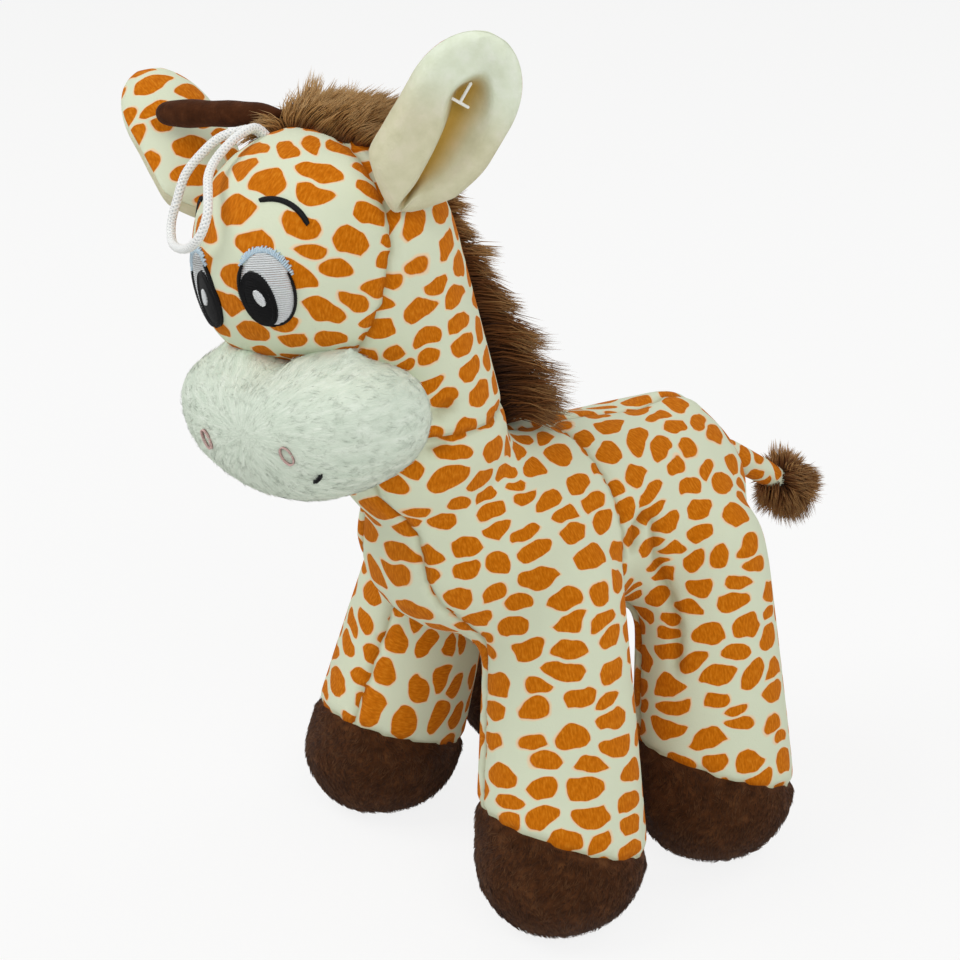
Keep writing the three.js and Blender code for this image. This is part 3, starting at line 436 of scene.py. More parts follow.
headJoint = joints["head_turn"]
headCock = {"turn": 14.2, "centre": (0, -28, 71), "cheekY": -38.5, "cheekZ": 70, "cheekSlope": 0.2, "faceFootZ": 19}
headFrame = (Matrix.Translation(headJoint["pos_m"])
             @ Matrix.Rotation(math.radians(headCock["turn"]), 4, Vector(headJoint["axis"])))
toHead, atHead = np.array(headFrame.inverted()), np.array(headFrame)
turn = atHead[:3, :3]


def inHead(points):
    return points @ toHead[:3, :3].T + toHead[:3, 3]


def fromHead(points):
    return np.asarray(points, float) @ turn.T + atHead[:3, 3]


def headSpot(spot):  # one place, given in the head's own millimetres
    return fromHead([np.array(spot) * mm])[0]


def pointing(sign, lift, sweep):
    lift, sweep = math.radians(lift), math.radians(sweep)
    return np.array([sign * math.cos(sweep) * math.cos(lift), math.sin(sweep) * math.cos(lift), math.sin(lift)])


def cheekGap(own):  # over 0 is behind the cheek seam
    return own[:, 1] - (headCock["cheekY"] + headCock["cheekSlope"] * (own[:, 2] / mm - headCock["cheekZ"])) * mm


# skin: one stuffed form over torso, legs, neck and head, sewn from panels

skinPlan = {"voxel": 4.5, "smoothing": 7, "start": 0.6, "pressure": 4.0, "cap": 3.5, "frames": 20, "soleZ": 0.6,
            "gussetHalf": 13.7, "gussetAt": 150.0, "gussetSlope": 0.24, "gussetTop": 128.0, "gussetFront": -45.0,
            "shoulderY": -2.0, "neckRingZ": 182.0, "legTopZ": 83.0, "legBendZ": 48.0, "hoofSeamZ": 35.0,
            "hoofSlope": 23.0, "hoofMiddle": {"front": -14, "hind": -9}, "hoofZone": 70.0, "gusset": 3, "hoof": 8,
            "jowl": 3.2, "jowlZ": 46.0, "jowlHigh": 13.0, "jowlOut": (0, 18), "jowlFront": (28, 45),
            "bulges": [((7, 60, 155), 3.6, 11), ((-2, 27, 159), -2.5, 15), ((6, 40, 159), -1.6, 12)]}  # rump and saddle


def joinForms(name, forms):
    onlySelect(*forms)
    bpy.ops.object.join()
    whole = bpy.context.object
    whole.name = name
    whole.data.name = name
    return whole


def hullOf(*nodeNames):
    copies = []
    for nodeName in nodeNames:
        copies.append(bpy.data.objects.new("form", frame["nodes"][nodeName].data.copy()))
        bpy.context.scene.collection.objects.link(copies[-1])
    form = joinForms("form", copies) if len(copies) > 1 else copies[0]
    form.data.materials.clear()
    editAll(form, (bpy.ops.mesh.remove_doubles, {"threshold": 0.0001}), (bpy.ops.mesh.convex_hull, {}), facesOut)
    return form


def inflate(obj, held, plan):  # stuffing presses the cloth out between what holds it
    start = coordsOf(obj)
    group = obj.vertex_groups.new(name="held")
    group.add([int(i) for i in np.nonzero(held)[0]], 1.0, "REPLACE")
    onlySelect(obj)
    bpy.ops.object.modifier_add(type="CLOTH")
    cloth = obj.modifiers[-1]
    cloth.settings.use_pressure = True
    cloth.settings.uniform_pressure_force = plan["pressure"]
    cloth.settings.effector_weights.gravity = 0
    cloth.settings.vertex_group_mass = "held"
    cloth.point_cache.frame_end = plan["frames"]
    for step in range(1, plan["frames"] + 1):
        bpy.context.scene.frame_set(step)
    bpy.ops.object.modifier_apply(modifier=cloth.name)
    moved = coordsOf(obj) - start
    far = np.maximum(np.linalg.norm(moved, axis=1, keepdims=True), 1e-9)
    setCoords(obj, start + moved * np.minimum(1, plan["cap"] * mm / far))
    obj.vertex_groups.clear()
    bpy.context.scene.frame_set(1)


def gussetEdge(points):  # over 0 is outside the chest and belly gusset
    half = skinPlan["gussetHalf"] + skinPlan["gussetSlope"] * (skinPlan["gussetAt"] - points[:, 2] / mm)
    return np.abs(points[:, 0] - middleX) - half * mm


def hoofSeam(leg):  # a point on the seam's plane, and the plane's normal
    low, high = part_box("hoof_cover_" + leg)
    slope = math.radians(skinPlan["hoofSlope"])
    middleY = joints["hip_" + leg]["pos_m"][1] + skinPlan["hoofMiddle"][leg.split("_")[0]] * mm
    point = np.array([(low.x + high.x) / 2, middleY, skinPlan["hoofSeamZ"] * mm])
    return point, np.array([0, math.sin(slope), math.cos(slope)])


def selectFaces(obj, chosen):  # leaves edit mode open
    onlySelect(obj)
    bpy.ops.object.mode_set(mode="EDIT")
    bpy.ops.mesh.select_mode(type="FACE")
    bpy.ops.mesh.select_all(action="DESELECT")
    bpy.ops.object.mode_set(mode="OBJECT")
    obj.data.polygons.foreach_set("select", np.asarray(chosen, bool))
    bpy.ops.object.mode_set(mode="EDIT")


def legOf(points):  # which leg a low point belongs to
    front = points[:, 1] < skinPlan["shoulderY"] * mm
    left = points[:, 0] > middleX
    return np.where(front, np.where(left, 0, 1), np.where(left, 2, 3))


def belowHoofSeam(points):
    below = np.zeros(len(points), bool)
    which = legOf(points)
    for index, leg in enumerate(legNames):
        point, normal = hoofSeam(leg)
        below |= (which == index) & ((points - point) @ normal < 0) & (points[:, 2] < skinPlan["hoofZone"] * mm)
    return below


def panelsOf(points):  # 0 face, 1 and 2 head, 3 gusset, 4 to 7 quarters of the body, 8 to 11 hooves
    own = inHead(points)
    panel = 4 + legOf(points)
    under = (points[:, 2] < skinPlan["gussetTop"] * mm) | (points[:, 1] < skinPlan["gussetFront"] * mm)
    panel[(gussetEdge(points) < 0) & under] = skinPlan["gusset"]
    high = points[:, 2] > skinPlan["neckRingZ"] * mm
    panel[high & (own[:, 0] > 0)] = 1
    panel[high & (own[:, 0] <= 0)] = 2
    panel[high & (cheekGap(own) < 0) & (own[:, 2] > headCock["faceFootZ"] * mm)] = 0
    hoof = belowHoofSeam(points)
    panel[hoof] = skinPlan["hoof"] + legOf(points)[hoof]
    return panel


cutPlan = {"reach": 10, "cheekReach": 12, "gussetOver": 3, "slack": 1, "footSlack": 4, "chestTop": 135,
           "chestFront": 6, "ringOver": 8, "rumpY": 50, "rumpOver": 6, "spineLow": 120, "spineHigh": 190}


def seamCuts(obj):  # an edge along each seam, only where the seam runs
    near = {key: value * mm for key, value in cutPlan.items()}
    top, front, ring, legTop, shoulder, half, at, hoofZone = (skinPlan[key] * mm for key in (
        "gussetTop", "gussetFront", "neckRingZ", "legTopZ", "shoulderY", "gussetHalf", "gussetAt", "hoofZone"))
    foot = headCock["faceFootZ"] * mm

    def chest(p, sign):
        under = (p[:, 2] < near["chestTop"]) | (p[:, 1] < front + near["chestFront"])
        return under & (p[:, 2] < ring + near["ringOver"]) & ((p[:, 0] - middleX) * sign > 0)

    def rump(p):
        return (p[:, 1] > near["rumpY"]) & (abs(p[:, 2] - top) < near["reach"]) & (gussetEdge(p) < near["rumpOver"])

    def spine(p):
        low = (p[:, 2] > near["spineLow"]) & (p[:, 2] < near["spineHigh"])
        return low & (abs(p[:, 0] - middleX) < near["reach"]) & (p[:, 1] > front)

    def cheek(p, own):
        beside = (abs(cheekGap(own)) < near["cheekReach"]) & (own[:, 2] > foot - near["footSlack"])
        return beside & (p[:, 2] > ring - near["slack"])

    def nape(p, own):
        rear = (cheekGap(own) > -near["slack"]) | (own[:, 2] < foot + near["slack"])
        return rear & (p[:, 2] > ring - near["slack"]) & (abs(own[:, 0]) < near["reach"])

    cuts = [(lambda p, own, sign=sign: chest(p, sign), (middleX + sign * half, 0, at),
             (sign, 0, skinPlan["gussetSlope"])) for sign in (1, -1)]
    cuts += [(lambda p, own: rump(p), (0, 0, top), (0, 0, 1)), (lambda p, own: spine(p), (middleX, 0, 0), (1, 0, 0)),
             (lambda p, own: (gussetEdge(p) > -near["gussetOver"]) & (abs(p[:, 1] - shoulder) < near["reach"]),
              (0, shoulder, 0), (0, 1, 0))]
    cuts += [(lambda p, own, index=index: (legOf(p) == index) & (p[:, 2] < hoofZone), *hoofSeam(leg))
             for index, leg in enumerate(legNames)]
    cuts += [(lambda p, own, level=level: abs(p[:, 2] - level) < near["reach"], (0, 0, level), (0, 0, 1))
             for level in (ring, legTop)]
    cuts += [(cheek, headSpot((0, headCock["cheekY"], headCock["cheekZ"])), turn @ [0, 1, -headCock["cheekSlope"]]),
             (nape, headSpot((0, 0, 0)), turn @ [1, 0, 0])]
    for choose, point, normal in cuts:
        centre = facesOf(obj)
        selectFaces(obj, choose(centre, inHead(centre)))
        bpy.ops.mesh.bisect(plane_co=tuple(point), plane_no=tuple(normal), threshold=0.00005)
        bpy.ops.object.mode_set(mode="OBJECT")


def panelNumbers(obj):
    return readAll(obj.data.attributes["panel"].data, "value", 1, np.int32)


def onCorners(obj, panel):  # a face's panel number, for each of its corners
    return np.repeat(panel, readAll(obj.data.polygons, "loop_total", 1, np.int32))


def panelEdges(obj, panel):  # edges where two panels meet
    edgeOf = readAll(obj.data.loops, "edge_index", 1, np.int32)
    low, high = np.full(len(obj.data.edges), 99), np.full(len(obj.data.edges), -1)
    np.minimum.at(low, edgeOf, onCorners(obj, panel))
    np.maximum.at(high, edgeOf, onCorners(obj, panel))
    return low != high


def layPrint(obj):  # each panel's map upright, at 100 mm a unit, with its own place on the printed roll
    mesh = obj.data
    panel = panelNumbers(obj)
    mesh.uv_layers.new(name="print")
    editAll(obj, (bpy.ops.uv.unwrap, {"method": "ANGLE_BASED", "margin": 0.002}))
    uv = readAll(mesh.uv_layers["print"].data, "uv", 2)
    points = coordsOf(obj)[cornersOf(obj)]
    mesh.calc_loop_triangles()
    corners = readAll(mesh.loop_triangles, "loops", 3, np.int32)
    owner = readAll(mesh.loop_triangles, "polygon_index", 1, np.int32)
    for number in np.unique(panel):
        ours = corners[panel[owner] == number]
        a, b, c = (points[ours[:, k]] for k in range(3))
        real = np.linalg.norm(np.cross(b - a, c - a), axis=1).sum()
        a, b, c = (uv[ours[:, k]] for k in range(3))
        flat = np.abs((b - a)[:, 0] * (c - a)[:, 1] - (b - a)[:, 1] * (c - a)[:, 0]).sum()
        mine = onCorners(obj, panel) == number
        spots = uv[mine] * math.sqrt(real / max(flat, 1e-12)) * 10
        spots -= spots.mean(axis=0)
        level = points[mine, 1] if number == skinPlan["gusset"] else points[mine, 2]
        slope = np.linalg.lstsq(np.c_[spots, np.ones(len(spots))], level, rcond=None)[0]
        lean = math.pi / 2 - math.atan2(slope[1], slope[0])
        spin = np.array([[math.cos(lean), math.sin(lean)], [-math.sin(lean), math.cos(lean)]])
        uv[mine] = spots @ spin + np.array(printCloth["roll"]) * number
    setMap(obj, uv)


groovePlan = {"depth": 1.4, "width": 1.9, "ripple": 0.35, "waves": (800, 700, 900), "shade": 0.5, "shadeWidth": 0.6}


def pressSeams(obj):  # the seam thread draws the cloth in
    points, width = coordsOf(obj), groovePlan["width"] * mm
    ends = readAll(obj.data.edges, "vertices", 2, np.int32)[panelEdges(obj, panelNumbers(obj))]
    first, last = points[ends[:, 0]], points[ends[:, 1]]
    tree = treeOf(np.concatenate([first * (1 - t) + last * t for t in (0, 0.25, 0.5, 0.75)]))
    away = np.array([tree.find(spot)[2] for spot in points])
    x, y, z = (points * groovePlan["waves"]).T
    ripple = 1 + groovePlan["ripple"] * np.sin(z + y) * np.sin(x)
    # painted shade: the cloth darkened along each seam, where its groove lies in shade
    addLayer(obj, "seam", groovePlan["shade"] * hump(away, 0, groovePlan["shadeWidth"] * width))
    pushOut(obj, -groovePlan["depth"] * mm * hump(away, 0, width) * ripple)


foldPlan = {"depth": 2.2, "width": 2.5, "shade": 0.6, "fade": 1.5, "taper": 4.0, "step": 0.5, "lines": [
    [(36.8, -75.8, 189.2), (39.2, -71.1, 191.1), (40.2, -65.3, 193.8)],  # neck tucks
    [(35.2, -76.9, 177.3), (37.5, -72.5, 178.2), (39.1, -67.3, 179.5)],
    [(47.9, 12.9, 136.2), (48.5, 8.6, 135.3), (49.4, 4.5, 132.1), (49.9, 3.6, 128.0), (49.9, 3.3, 121.9)],  # flank
    [(47.9, 12.9, 136.2), (50.0, 13.1, 125.3), (50.0, 14.9, 115.5), (50.7, 16.8, 108.1), (53.8, 17.5, 100.7),
     (57.5, 17.2, 93.5), (59.5, 15.6, 84.8), (61.2, 13.8, 76.1)]]}


def pressFolds(obj):  # folds on both sides, shallow at their ends
    spots, pulls = [], []
    for line in foldPlan["lines"]:
        dense, even, total = evenLine(np.array(line), lambda total: np.arange(0, total, foldPlan["step"]))
        twin = dense * [-1, 1, 1] + [2 * middleX / mm, 0, 0]
        pull = np.clip((np.minimum(even, total - even) + 1) / foldPlan["taper"], 0, 1)
        spots += [dense, twin]
        pulls += [pull, pull]
    tree, pulls = treeOf(np.concatenate(spots) * mm), np.concatenate(pulls)
    found = [tree.find(point) for point in coordsOf(obj)]
    close = hump(np.array([f[2] for f in found]), 0, foldPlan["width"] * mm) * pulls[[f[1] for f in found]]
    pushOut(obj, -foldPlan["depth"] * mm * close)
    # painted shade: the cloth darkened along each fold as well
    shade = obj.data.attributes["seam"].data
    darker = np.maximum(readAll(shade, "value"), foldPlan["shade"] * close ** foldPlan["fade"])
    shade.foreach_set("value", darker.astype(np.float32))


forms = [hullOf("torso_panel_left", "torso_panel_right", "belly_panel"), hullOf("face_panel"),
         hullOf("head_panel_left", "head_panel_right")]
forms += [hullOf("leg_cover_" + leg, "hoof_cover_" + leg) for leg in legNames]
skin = joinForms("skin", forms)
applyModifier(skin, "REMESH", mode="VOXEL", voxel_size=skinPlan["voxel"] * mm)
applyModifier(skin, "SMOOTH", factor=0.5, iterations=skinPlan["smoothing"])
pushOut(skin, -skinPlan["start"] * mm)
own = inHead(coordsOf(skin)) / mm
jowl = skinPlan["jowl"] * hump(own[:, 2], skinPlan["jowlZ"], skinPlan["jowlHigh"])
jowl *= smoothStep(*skinPlan["jowlOut"], -own[:, 0]) * smoothStep(*skinPlan["jowlFront"], -own[:, 1])
outward = (own - headCock["centre"]) * [1, 1, 0]
setCoords(skin, fromHead((own + unit(outward) * jowl[:, None]) * mm))
for spot, push, reach in skinPlan["bulges"]:
    pushOut(skin, push * mm * hump(np.linalg.norm(coordsOf(skin) / mm - spot, axis=1), 0, reach))
print("skin is one form,", len(skin.data.vertices), "points")

# where thread holds the cloth while it is stuffed
heldPlan = {"band": 2.2, "ringBand": 2.5, "chestTop": 130, "shoulderLow": 80, "sole": 2.0}
rest, near = coordsOf(skin), {key: value * mm for key, value in heldPlan.items()}
held = np.abs(gussetEdge(rest)) < near["band"]
held &= (rest[:, 2] < near["chestTop"]) | (rest[:, 1] < skinPlan["gussetFront"] * mm)
held |= (np.abs(rest[:, 1] - skinPlan["shoulderY"] * mm) < near["band"]) & (rest[:, 2] > near["shoulderLow"])
held |= np.abs(rest[:, 2] - skinPlan["neckRingZ"] * mm) < near["ringBand"]
for leg in legNames:
    point, normal = hoofSeam(leg)
    held |= (np.abs((rest - point) @ normal) < near["band"]) & (rest[:, 2] < skinPlan["hoofZone"] * mm)
held |= rest[:, 2] < near["sole"]
inflate(skin, held, skinPlan)
print("skin is stuffed")
seamCuts(skin)
panel = panelsOf(facesOf(skin))
addLayer(skin, "panel", panel, "INT", "FACE")
skin.data.edges.foreach_set("use_seam", panelEdges(skin, panel))
layPrint(skin)
print("panels are cut and printed,", len(skin.data.polygons), "faces")
applyModifier(skin, "SUBSURF", levels=1, render_levels=1)
pressSeams(skin)
pressFolds(skin)
keepAbove(skin, skinPlan["soleZ"] * mm)
smoothLook(skin)
addLayer(skin, "wholeNormal", normalsOf(skin), "FLOAT_VECTOR")


def splitOff(obj, chosen, name):  # a part of the skin as its own piece
    selectFaces(obj, chosen)
    before = set(bpy.data.objects)
    bpy.ops.mesh.separate(type="SELECTED")
    bpy.ops.object.mode_set(mode="OBJECT")
    part = (set(bpy.data.objects) - before).pop()
    part.name = name
    part.data.name = name
    return part


skinPieces = {}
for index, leg in enumerate(legNames):
    skinPieces["hoof_" + leg] = splitOff(skin, panelNumbers(skin) == skinPlan["hoof"] + index, "hoof_" + leg)
for index, leg in enumerate(legNames):
    centre = facesOf(skin)
    chosen = (centre[:, 2] < skinPlan["legTopZ"] * mm) & (legOf(centre) == index)
    skinPieces["leg_" + leg] = splitOff(skin, chosen, "leg_" + leg)
skinPieces["head_skin"] = splitOff(skin, np.isin(panelNumbers(skin), (0, 1, 2)), "head_skin")
skin.name = "body_skin"
skinPieces["body_skin"] = skin
for part in skinPieces.values():
    whole = part.data.attributes["wholeNormal"]  # each piece keeps the whole skin's shading
    shading = readAll(whole.data, "vector", 3)
    part.data.attributes.remove(whole)
    part.data.normals_split_custom_set_from_vertices(shading)
    print(part.name, len(part.data.polygons), "faces")

pivotX, pivotY = headJoint["pos_m"][:2]
standsFor = {"body_skin": ("torso_panel_left", "torso_panel_right", "belly_panel", "torso_stuffing"),
             "head_skin": ("face_panel", "head_panel_left", "head_panel_right", "head_stuffing", "neck_stuffing")}


def bendAtNeck(obj, cloth):  # bakes the piece's placing into its mesh
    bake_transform(obj)


for name, nodes in standsFor.items():
    bendAtNeck(skinPieces[name], name)
    dress(skinPieces[name], printedVelour, "print_cloth", *nodes)
for leg in legNames:
    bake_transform(skinPieces["leg_" + leg])
    dress(skinPieces["leg_" + leg], printedVelour, "print_cloth", "leg_cover_" + leg, "leg_stuffing_" + leg)
    dress(skinPieces["hoof_" + leg], brownPlush, "hoof_plush", "hoof_cover_" + leg, body="leg_" + leg)


# muzzle: its own stuffed plush cover, dipped at the bridge of the nose

muzzlePlan = {"centre": (0, -47, 19), "voxel": 4.0, "smoothing": 5, "start": 1.0, "pressure": 4.0, "cap": 2.5,
              "frames": 16, "heldY": -24.0, "collarZ": 44.5, "collarY": -45.0, "collarTilt": 1.0, "collarProud": 1.07,
              "dip": 2.5, "dipX": 4.0, "dipWidth": 10.0, "dipTop": (19, 35), "dipBack": (-76, -48),
              "notch": 3.5, "notchX": 3.0, "notchWidth": 6.0, "notchZ": (34, 44), "shear": 0.22, "shearFrom": -4.0,
              "chin": 2.2, "chinX": 14.0, "chinWidth": 18.0, "chinZ": (-2, 16),
              "whorl": (5, -82, 22), "strokeRound": 45.0, "strokeLong": 2.2}
collar = hullOf("face_panel")
heart = headSpot(headCock["centre"])
setCoords(collar, heart + (coordsOf(collar) - heart) * muzzlePlan["collarProud"])
tilt = math.radians(muzzlePlan["collarTilt"])
for spot, facing in (((0, 0, muzzlePlan["collarZ"]), turn @ [-math.sin(tilt), 0, math.cos(tilt)]),
                     ((0, muzzlePlan["collarY"], 0), turn[:, 1])):
    editAll(collar, (bpy.ops.mesh.bisect, {"plane_co": tuple(headSpot(spot)), "plane_no": tuple(facing),
                                           "use_fill": True, "clear_outer": True}))
muzzle = joinForms("muzzle", [hullOf("muzzle_cover"), collar])
applyModifier(muzzle, "REMESH", mode="VOXEL", voxel_size=muzzlePlan["voxel"] * mm)
applyModifier(muzzle, "SMOOTH", factor=0.5, iterations=muzzlePlan["smoothing"])
own = inHead(coordsOf(muzzle)) / mm
dip, notch, chin = (muzzlePlan[key] * hump(own[:, 0], muzzlePlan[key + "X"], muzzlePlan[key + "Width"])
                    for key in ("dip", "notch", "chin"))
dip *= smoothStep(*muzzlePlan["dipTop"], own[:, 2])
own[:, 2] -= dip * smoothStep(*muzzlePlan["dipBack"], own[:, 1])
own[:, 2] -= notch * smoothStep(*muzzlePlan["notchZ"], own[:, 2])
own[:, 2] -= chin * (1 - smoothStep(*muzzlePlan["chinZ"], own[:, 2]))
own[:, 2] += muzzlePlan["shear"] * np.maximum(0, muzzlePlan["shearFrom"] - own[:, 0])
setCoords(muzzle, fromHead(own * mm))
pushOut(muzzle, -muzzlePlan["start"] * mm)
inflate(muzzle, inHead(coordsOf(muzzle))[:, 1] > muzzlePlan["heldY"] * mm, muzzlePlan)
applyModifier(muzzle, "SUBSURF", levels=1, render_levels=1)
smoothLook(muzzle)
own = inHead(coordsOf(muzzle)) / mm - muzzlePlan["whorl"]
bearing, far = np.arctan2(own[:, 2], own[:, 0]), np.linalg.norm(own, axis=1)
strokes = np.c_[muzzlePlan["strokeRound"] * np.cos(bearing), muzzlePlan["strokeRound"] * np.sin(bearing),
                far / muzzlePlan["strokeLong"]] * mm
addLayer(muzzle, "brushed", strokes, "FLOAT_VECTOR")
dress(muzzle, creamPlush, "muzzle_plush", "muzzle_cover", body="head", fill=0.9)
print("muzzle is stuffed,", len(muzzle.data.polygons), "faces")


# pile: strands that are modelled once, as a three-sided hair, and copied over a cloth

def strandTriangles(rings):
    corners = [(0, 2, 1)]
    for ring in range(rings - 1):
        for side in range(3):
            a, b = ring * 3 + side, ring * 3 + (side + 1) % 3
            corners += [(a, b, b + 3), (a, b + 3, a + 3)]
    tip, last = rings * 3, (rings - 1) * 3
    corners += [(last + side, last + (side + 1) % 3, tip) for side in range(3)]
    return np.array(corners)


def growStrands(name, roots, ways, leans, lengths, radii, bends, rings, tones, pulls, shading=None):
    count, each = len(roots), rings * 3 + 1
    points, along = np.empty((count, each, 3)), np.empty((count, each))
    spin = unit(np.cross(ways, leans + np.array([0.013, 0.007, 0.011])))  # a nudge, so the two never lie in line
    bends = bends[:, None]
    for ring in range(rings + 1):
        t = ring / rings
        line = roots + lengths[:, None] * (ways * (t - 0.5 * bends * t * t) + leans * bends * t * t) + pulls * t * t
        heading = unit(ways * (1 - bends * t) + 2 * leans * bends * t + 2 * t * pulls / lengths[:, None])
        across = unit(spin - heading * np.sum(spin * heading, axis=1, keepdims=True))
        other = np.cross(heading, across)
        if ring == rings:
            points[:, -1] = line
            along[:, -1] = 1
            continue
        thick = radii * (1 - t) ** 0.6
        for side in range(3):
            spread = 2 * math.pi * side / 3
            points[:, ring * 3 + side] = line + thick[:, None] * (across * math.cos(spread) + other * math.sin(spread))
        along[:, ring * 3:ring * 3 + 3] = t
    corners = strandTriangles(rings)[None] + (np.arange(count) * each)[:, None, None]
    strands = meshFrom(name, points.reshape(-1, 3), corners.reshape(-1, 3),
                       {"along": along, "tone": np.repeat(tones[:, None], each, axis=1)})
    if shading is not None:  # lying pile takes the light as the cloth under it does
        strands.data.normals_split_custom_set_from_vertices(np.repeat(shading, each, axis=0))
    print(name, len(strands.data.polygons), "triangles")
    return strands


def clumpPulls(roots, ways, leans, lengths, bends, dice, share, pull):  # tips drawn together, tuft by tuft
    bends = bends[:, None]
    tips = roots + lengths[:, None] * (ways * (1 - 0.5 * bends) + leans * bends)
    guides = dice.choice(len(roots), max(3, len(roots) // share), replace=False)
    tree = treeOf(roots[guides])
    mine = guides[[tree.find(root)[1] for root in roots]]
    return (tips[mine] - tips) * pull, np.sin(mine * 12.9898)  # and a shade for each tuft


def scatter(obj, count, dice, keep):  # random places on a cloth, evenly by area
    obj.data.calc_loop_triangles()
    corners = readAll(obj.data.loop_triangles, "vertices", 3, np.int32)
    points, normals = coordsOf(obj), normalsOf(obj)
    corners = corners[keep(points[corners].mean(axis=1), normals[corners].mean(axis=1))]
    a, b, c = (points[corners[:, k]] for k in range(3))
    area = np.linalg.norm(np.cross(b - a, c - a), axis=1)
    pick = dice.choice(len(corners), count, p=area / area.sum())
    share = dice.random((count, 2))
    share = np.where(share.sum(axis=1, keepdims=True) > 1, 1 - share, share)
    u, v = share[:, :1], share[:, 1:]
    spots = a[pick] * (1 - u - v) + b[pick] * u + c[pick] * v
    n = normals[corners[pick]]
    return spots, unit(n[:, 0] * (1 - u - v) + n[:, 1] * u + n[:, 2] * v)


pilePlan = {"wild": 0.08, "longBy": (0.7, 1.2), "thickBy": (0.8, 1.2), "bend": (0.2, 0.5), "pull": 0.6, "sunk": 0.15,
            "rings": 2, "waves": (310, 360, 330)}
muzzlePile = {"count": 7000, "length": 3.0, "radius": 0.085, "stray": 0.45, "flat": 0.86, "tuft": 7, "mottle": 0.4,
              "ruffle": 0.05}
hoofPile = {"count": 8000, "length": 2.6, "radius": 0.15, "stray": 0.35, "flat": 0.72, "tuft": 9, "mottle": 1.1,
            "ruffle": 0.14, "rootZ": 3.5, "lowZ": 0.3, "sway": 0.7}
skull = 0.040  # no pile where the muzzle is inside the head


def growPile(name, obj, plan, keep, nap, seed):
    dice = np.random.default_rng(seed)
    roots, facing = scatter(obj, plan["count"], dice, keep)
    lay = nap(roots) + dice.normal(0, plan["stray"], roots.shape)
    leans = unit(lay - facing * np.sum(lay * facing, axis=1, keepdims=True))
    ways = unit(facing * (1 - plan["flat"]) + leans * plan["flat"] + dice.normal(0, pilePlan["wild"], facing.shape))
    lengths = plan["length"] * mm * dice.uniform(*pilePlan["longBy"], len(roots))
    radii = plan["radius"] * mm * dice.uniform(*pilePlan["thickBy"], len(roots))
    bends = dice.uniform(*pilePlan["bend"], len(roots))
    x, y, z = (roots * pilePlan["waves"]).T
    patch = np.sin(x + seed) * np.sin(y) * np.sin(z + 1)
    pulls, tufts = clumpPulls(roots, ways, leans, lengths, bends, dice, plan["tuft"], pilePlan["pull"])
    mottle = 0.6 * patch + 0.5 * (tufts * 0.5) + dice.normal(0, 0.25, len(roots))
    tones = np.clip(0.5 + plan["mottle"] * mottle, 0, 1)
    shading = unit(facing + 0.25 * leans + dice.normal(0, plan["ruffle"], facing.shape))
    return growStrands(name, roots - facing * pilePlan["sunk"] * mm, ways, leans, lengths, radii, bends,
                       pilePlan["rings"], tones, pulls, shading)


def outsideHead(points, normals):
    return np.linalg.norm(points - heart, axis=1) > skull


def fromWhorl(points):  # hair parts at the tip of the nose and lies away from it all round
    return unit(points - headSpot(muzzlePlan["whorl"]))


def aboveSole(points, normals):
    return points[:, 2] > hoofPile["rootZ"] * mm


def downHoof(points):  # brushed down, swaying from patch to patch
    x, y, z = points.T
    return np.c_[hoofPile["sway"] * np.sin(y * 190 + z * 140), hoofPile["sway"] * np.sin(x * 170 + z * 90),
                 np.full(len(points), -1.0)]


pile = growPile("muzzle_pile", muzzle, muzzlePile, outsideHead, fromWhorl, 11)
dress(pile, creamHair, "muzzle_plush", body="head")
for index, leg in enumerate(legNames):
    pile = growPile("hoof_pile_" + leg, skinPieces["hoof_" + leg], hoofPile, aboveSole, downHoof, 20 + index)
    keepAbove(pile, hoofPile["lowZ"] * mm)
    dress(pile, brownHair, "hoof_plush", body="leg_" + leg)


# horns: stuffed velour rolls, fuller at the tip

hornPlan = {"length": 46.0, "root": 3.7, "tip": 4.9, "gather": 0.6, "gatherLong": 0.25, "blunt": 7, "lump": 0.04,
            "lift": {"left": -7.0, "right": 5.0}, "sweep": {"left": 60.0, "right": -15.0},
            "droop": {"left": 0.006, "right": 0.0}, "sides": 20, "rings": 26}


def addBall(name, plan):
    bpy.ops.mesh.primitive_uv_sphere_add(segments=plan["sides"], ring_count=plan["rings"], radius=1.0)
    ball = bpy.context.object
    ball.name = name
    return ball, coordsOf(ball)


def layAlong(ball, seat, way, across, reach, thick, sag=0.0):  # the ball's rings drawn out along a line
    around, upward = unit(coordsOf(ball)[:, :2]), np.cross(across, way)
    setCoords(ball, seat + np.outer(reach, way) - sag + (thick * around[:, 0])[:, None] * across
              + (thick * around[:, 1])[:, None] * upward)
    editAll(ball, facesOut)
    smoothLook(ball)
    return np.arctan2(around[:, 1], around[:, 0])


for side, sign in bothSides:
    way = turn @ pointing(sign, hornPlan["lift"][side], hornPlan["sweep"][side])
    horn, points = addBall("horn_roll_" + side, hornPlan)
    share = (points[:, 2] + 1) / 2
    thick = (hornPlan["root"] + (hornPlan["tip"] - hornPlan["root"]) * share) * mm
    thick = thick * np.maximum(0, 1 - np.abs(points[:, 2]) ** hornPlan["blunt"]) ** 0.5
    thick *= 1 + hornPlan["lump"] * np.sin(share * 21 + sign)
    thick *= hornPlan["gather"] + (1 - hornPlan["gather"]) * smoothStep(0, hornPlan["gatherLong"], share)
    reach = (-hornPlan["root"] + (hornPlan["length"] + hornPlan["root"]) * share) * mm
    sag = np.outer(hornPlan["droop"][side] / mm * np.maximum(0, reach) ** 2, turn @ [0, 0, 1.0])
    layAlong(horn, np.array(joints["horn_flop_" + side]["pos_m"]), way, unit(np.cross(way, [0, 0, 1.0])), reach, thick,
             sag)
    dress(horn, hornVelour, "horn_plush", "horn_" + side, body="horn_" + side, fill=0.9)
print("horns are made")


# mane: long pile from the crown down the back of the neck

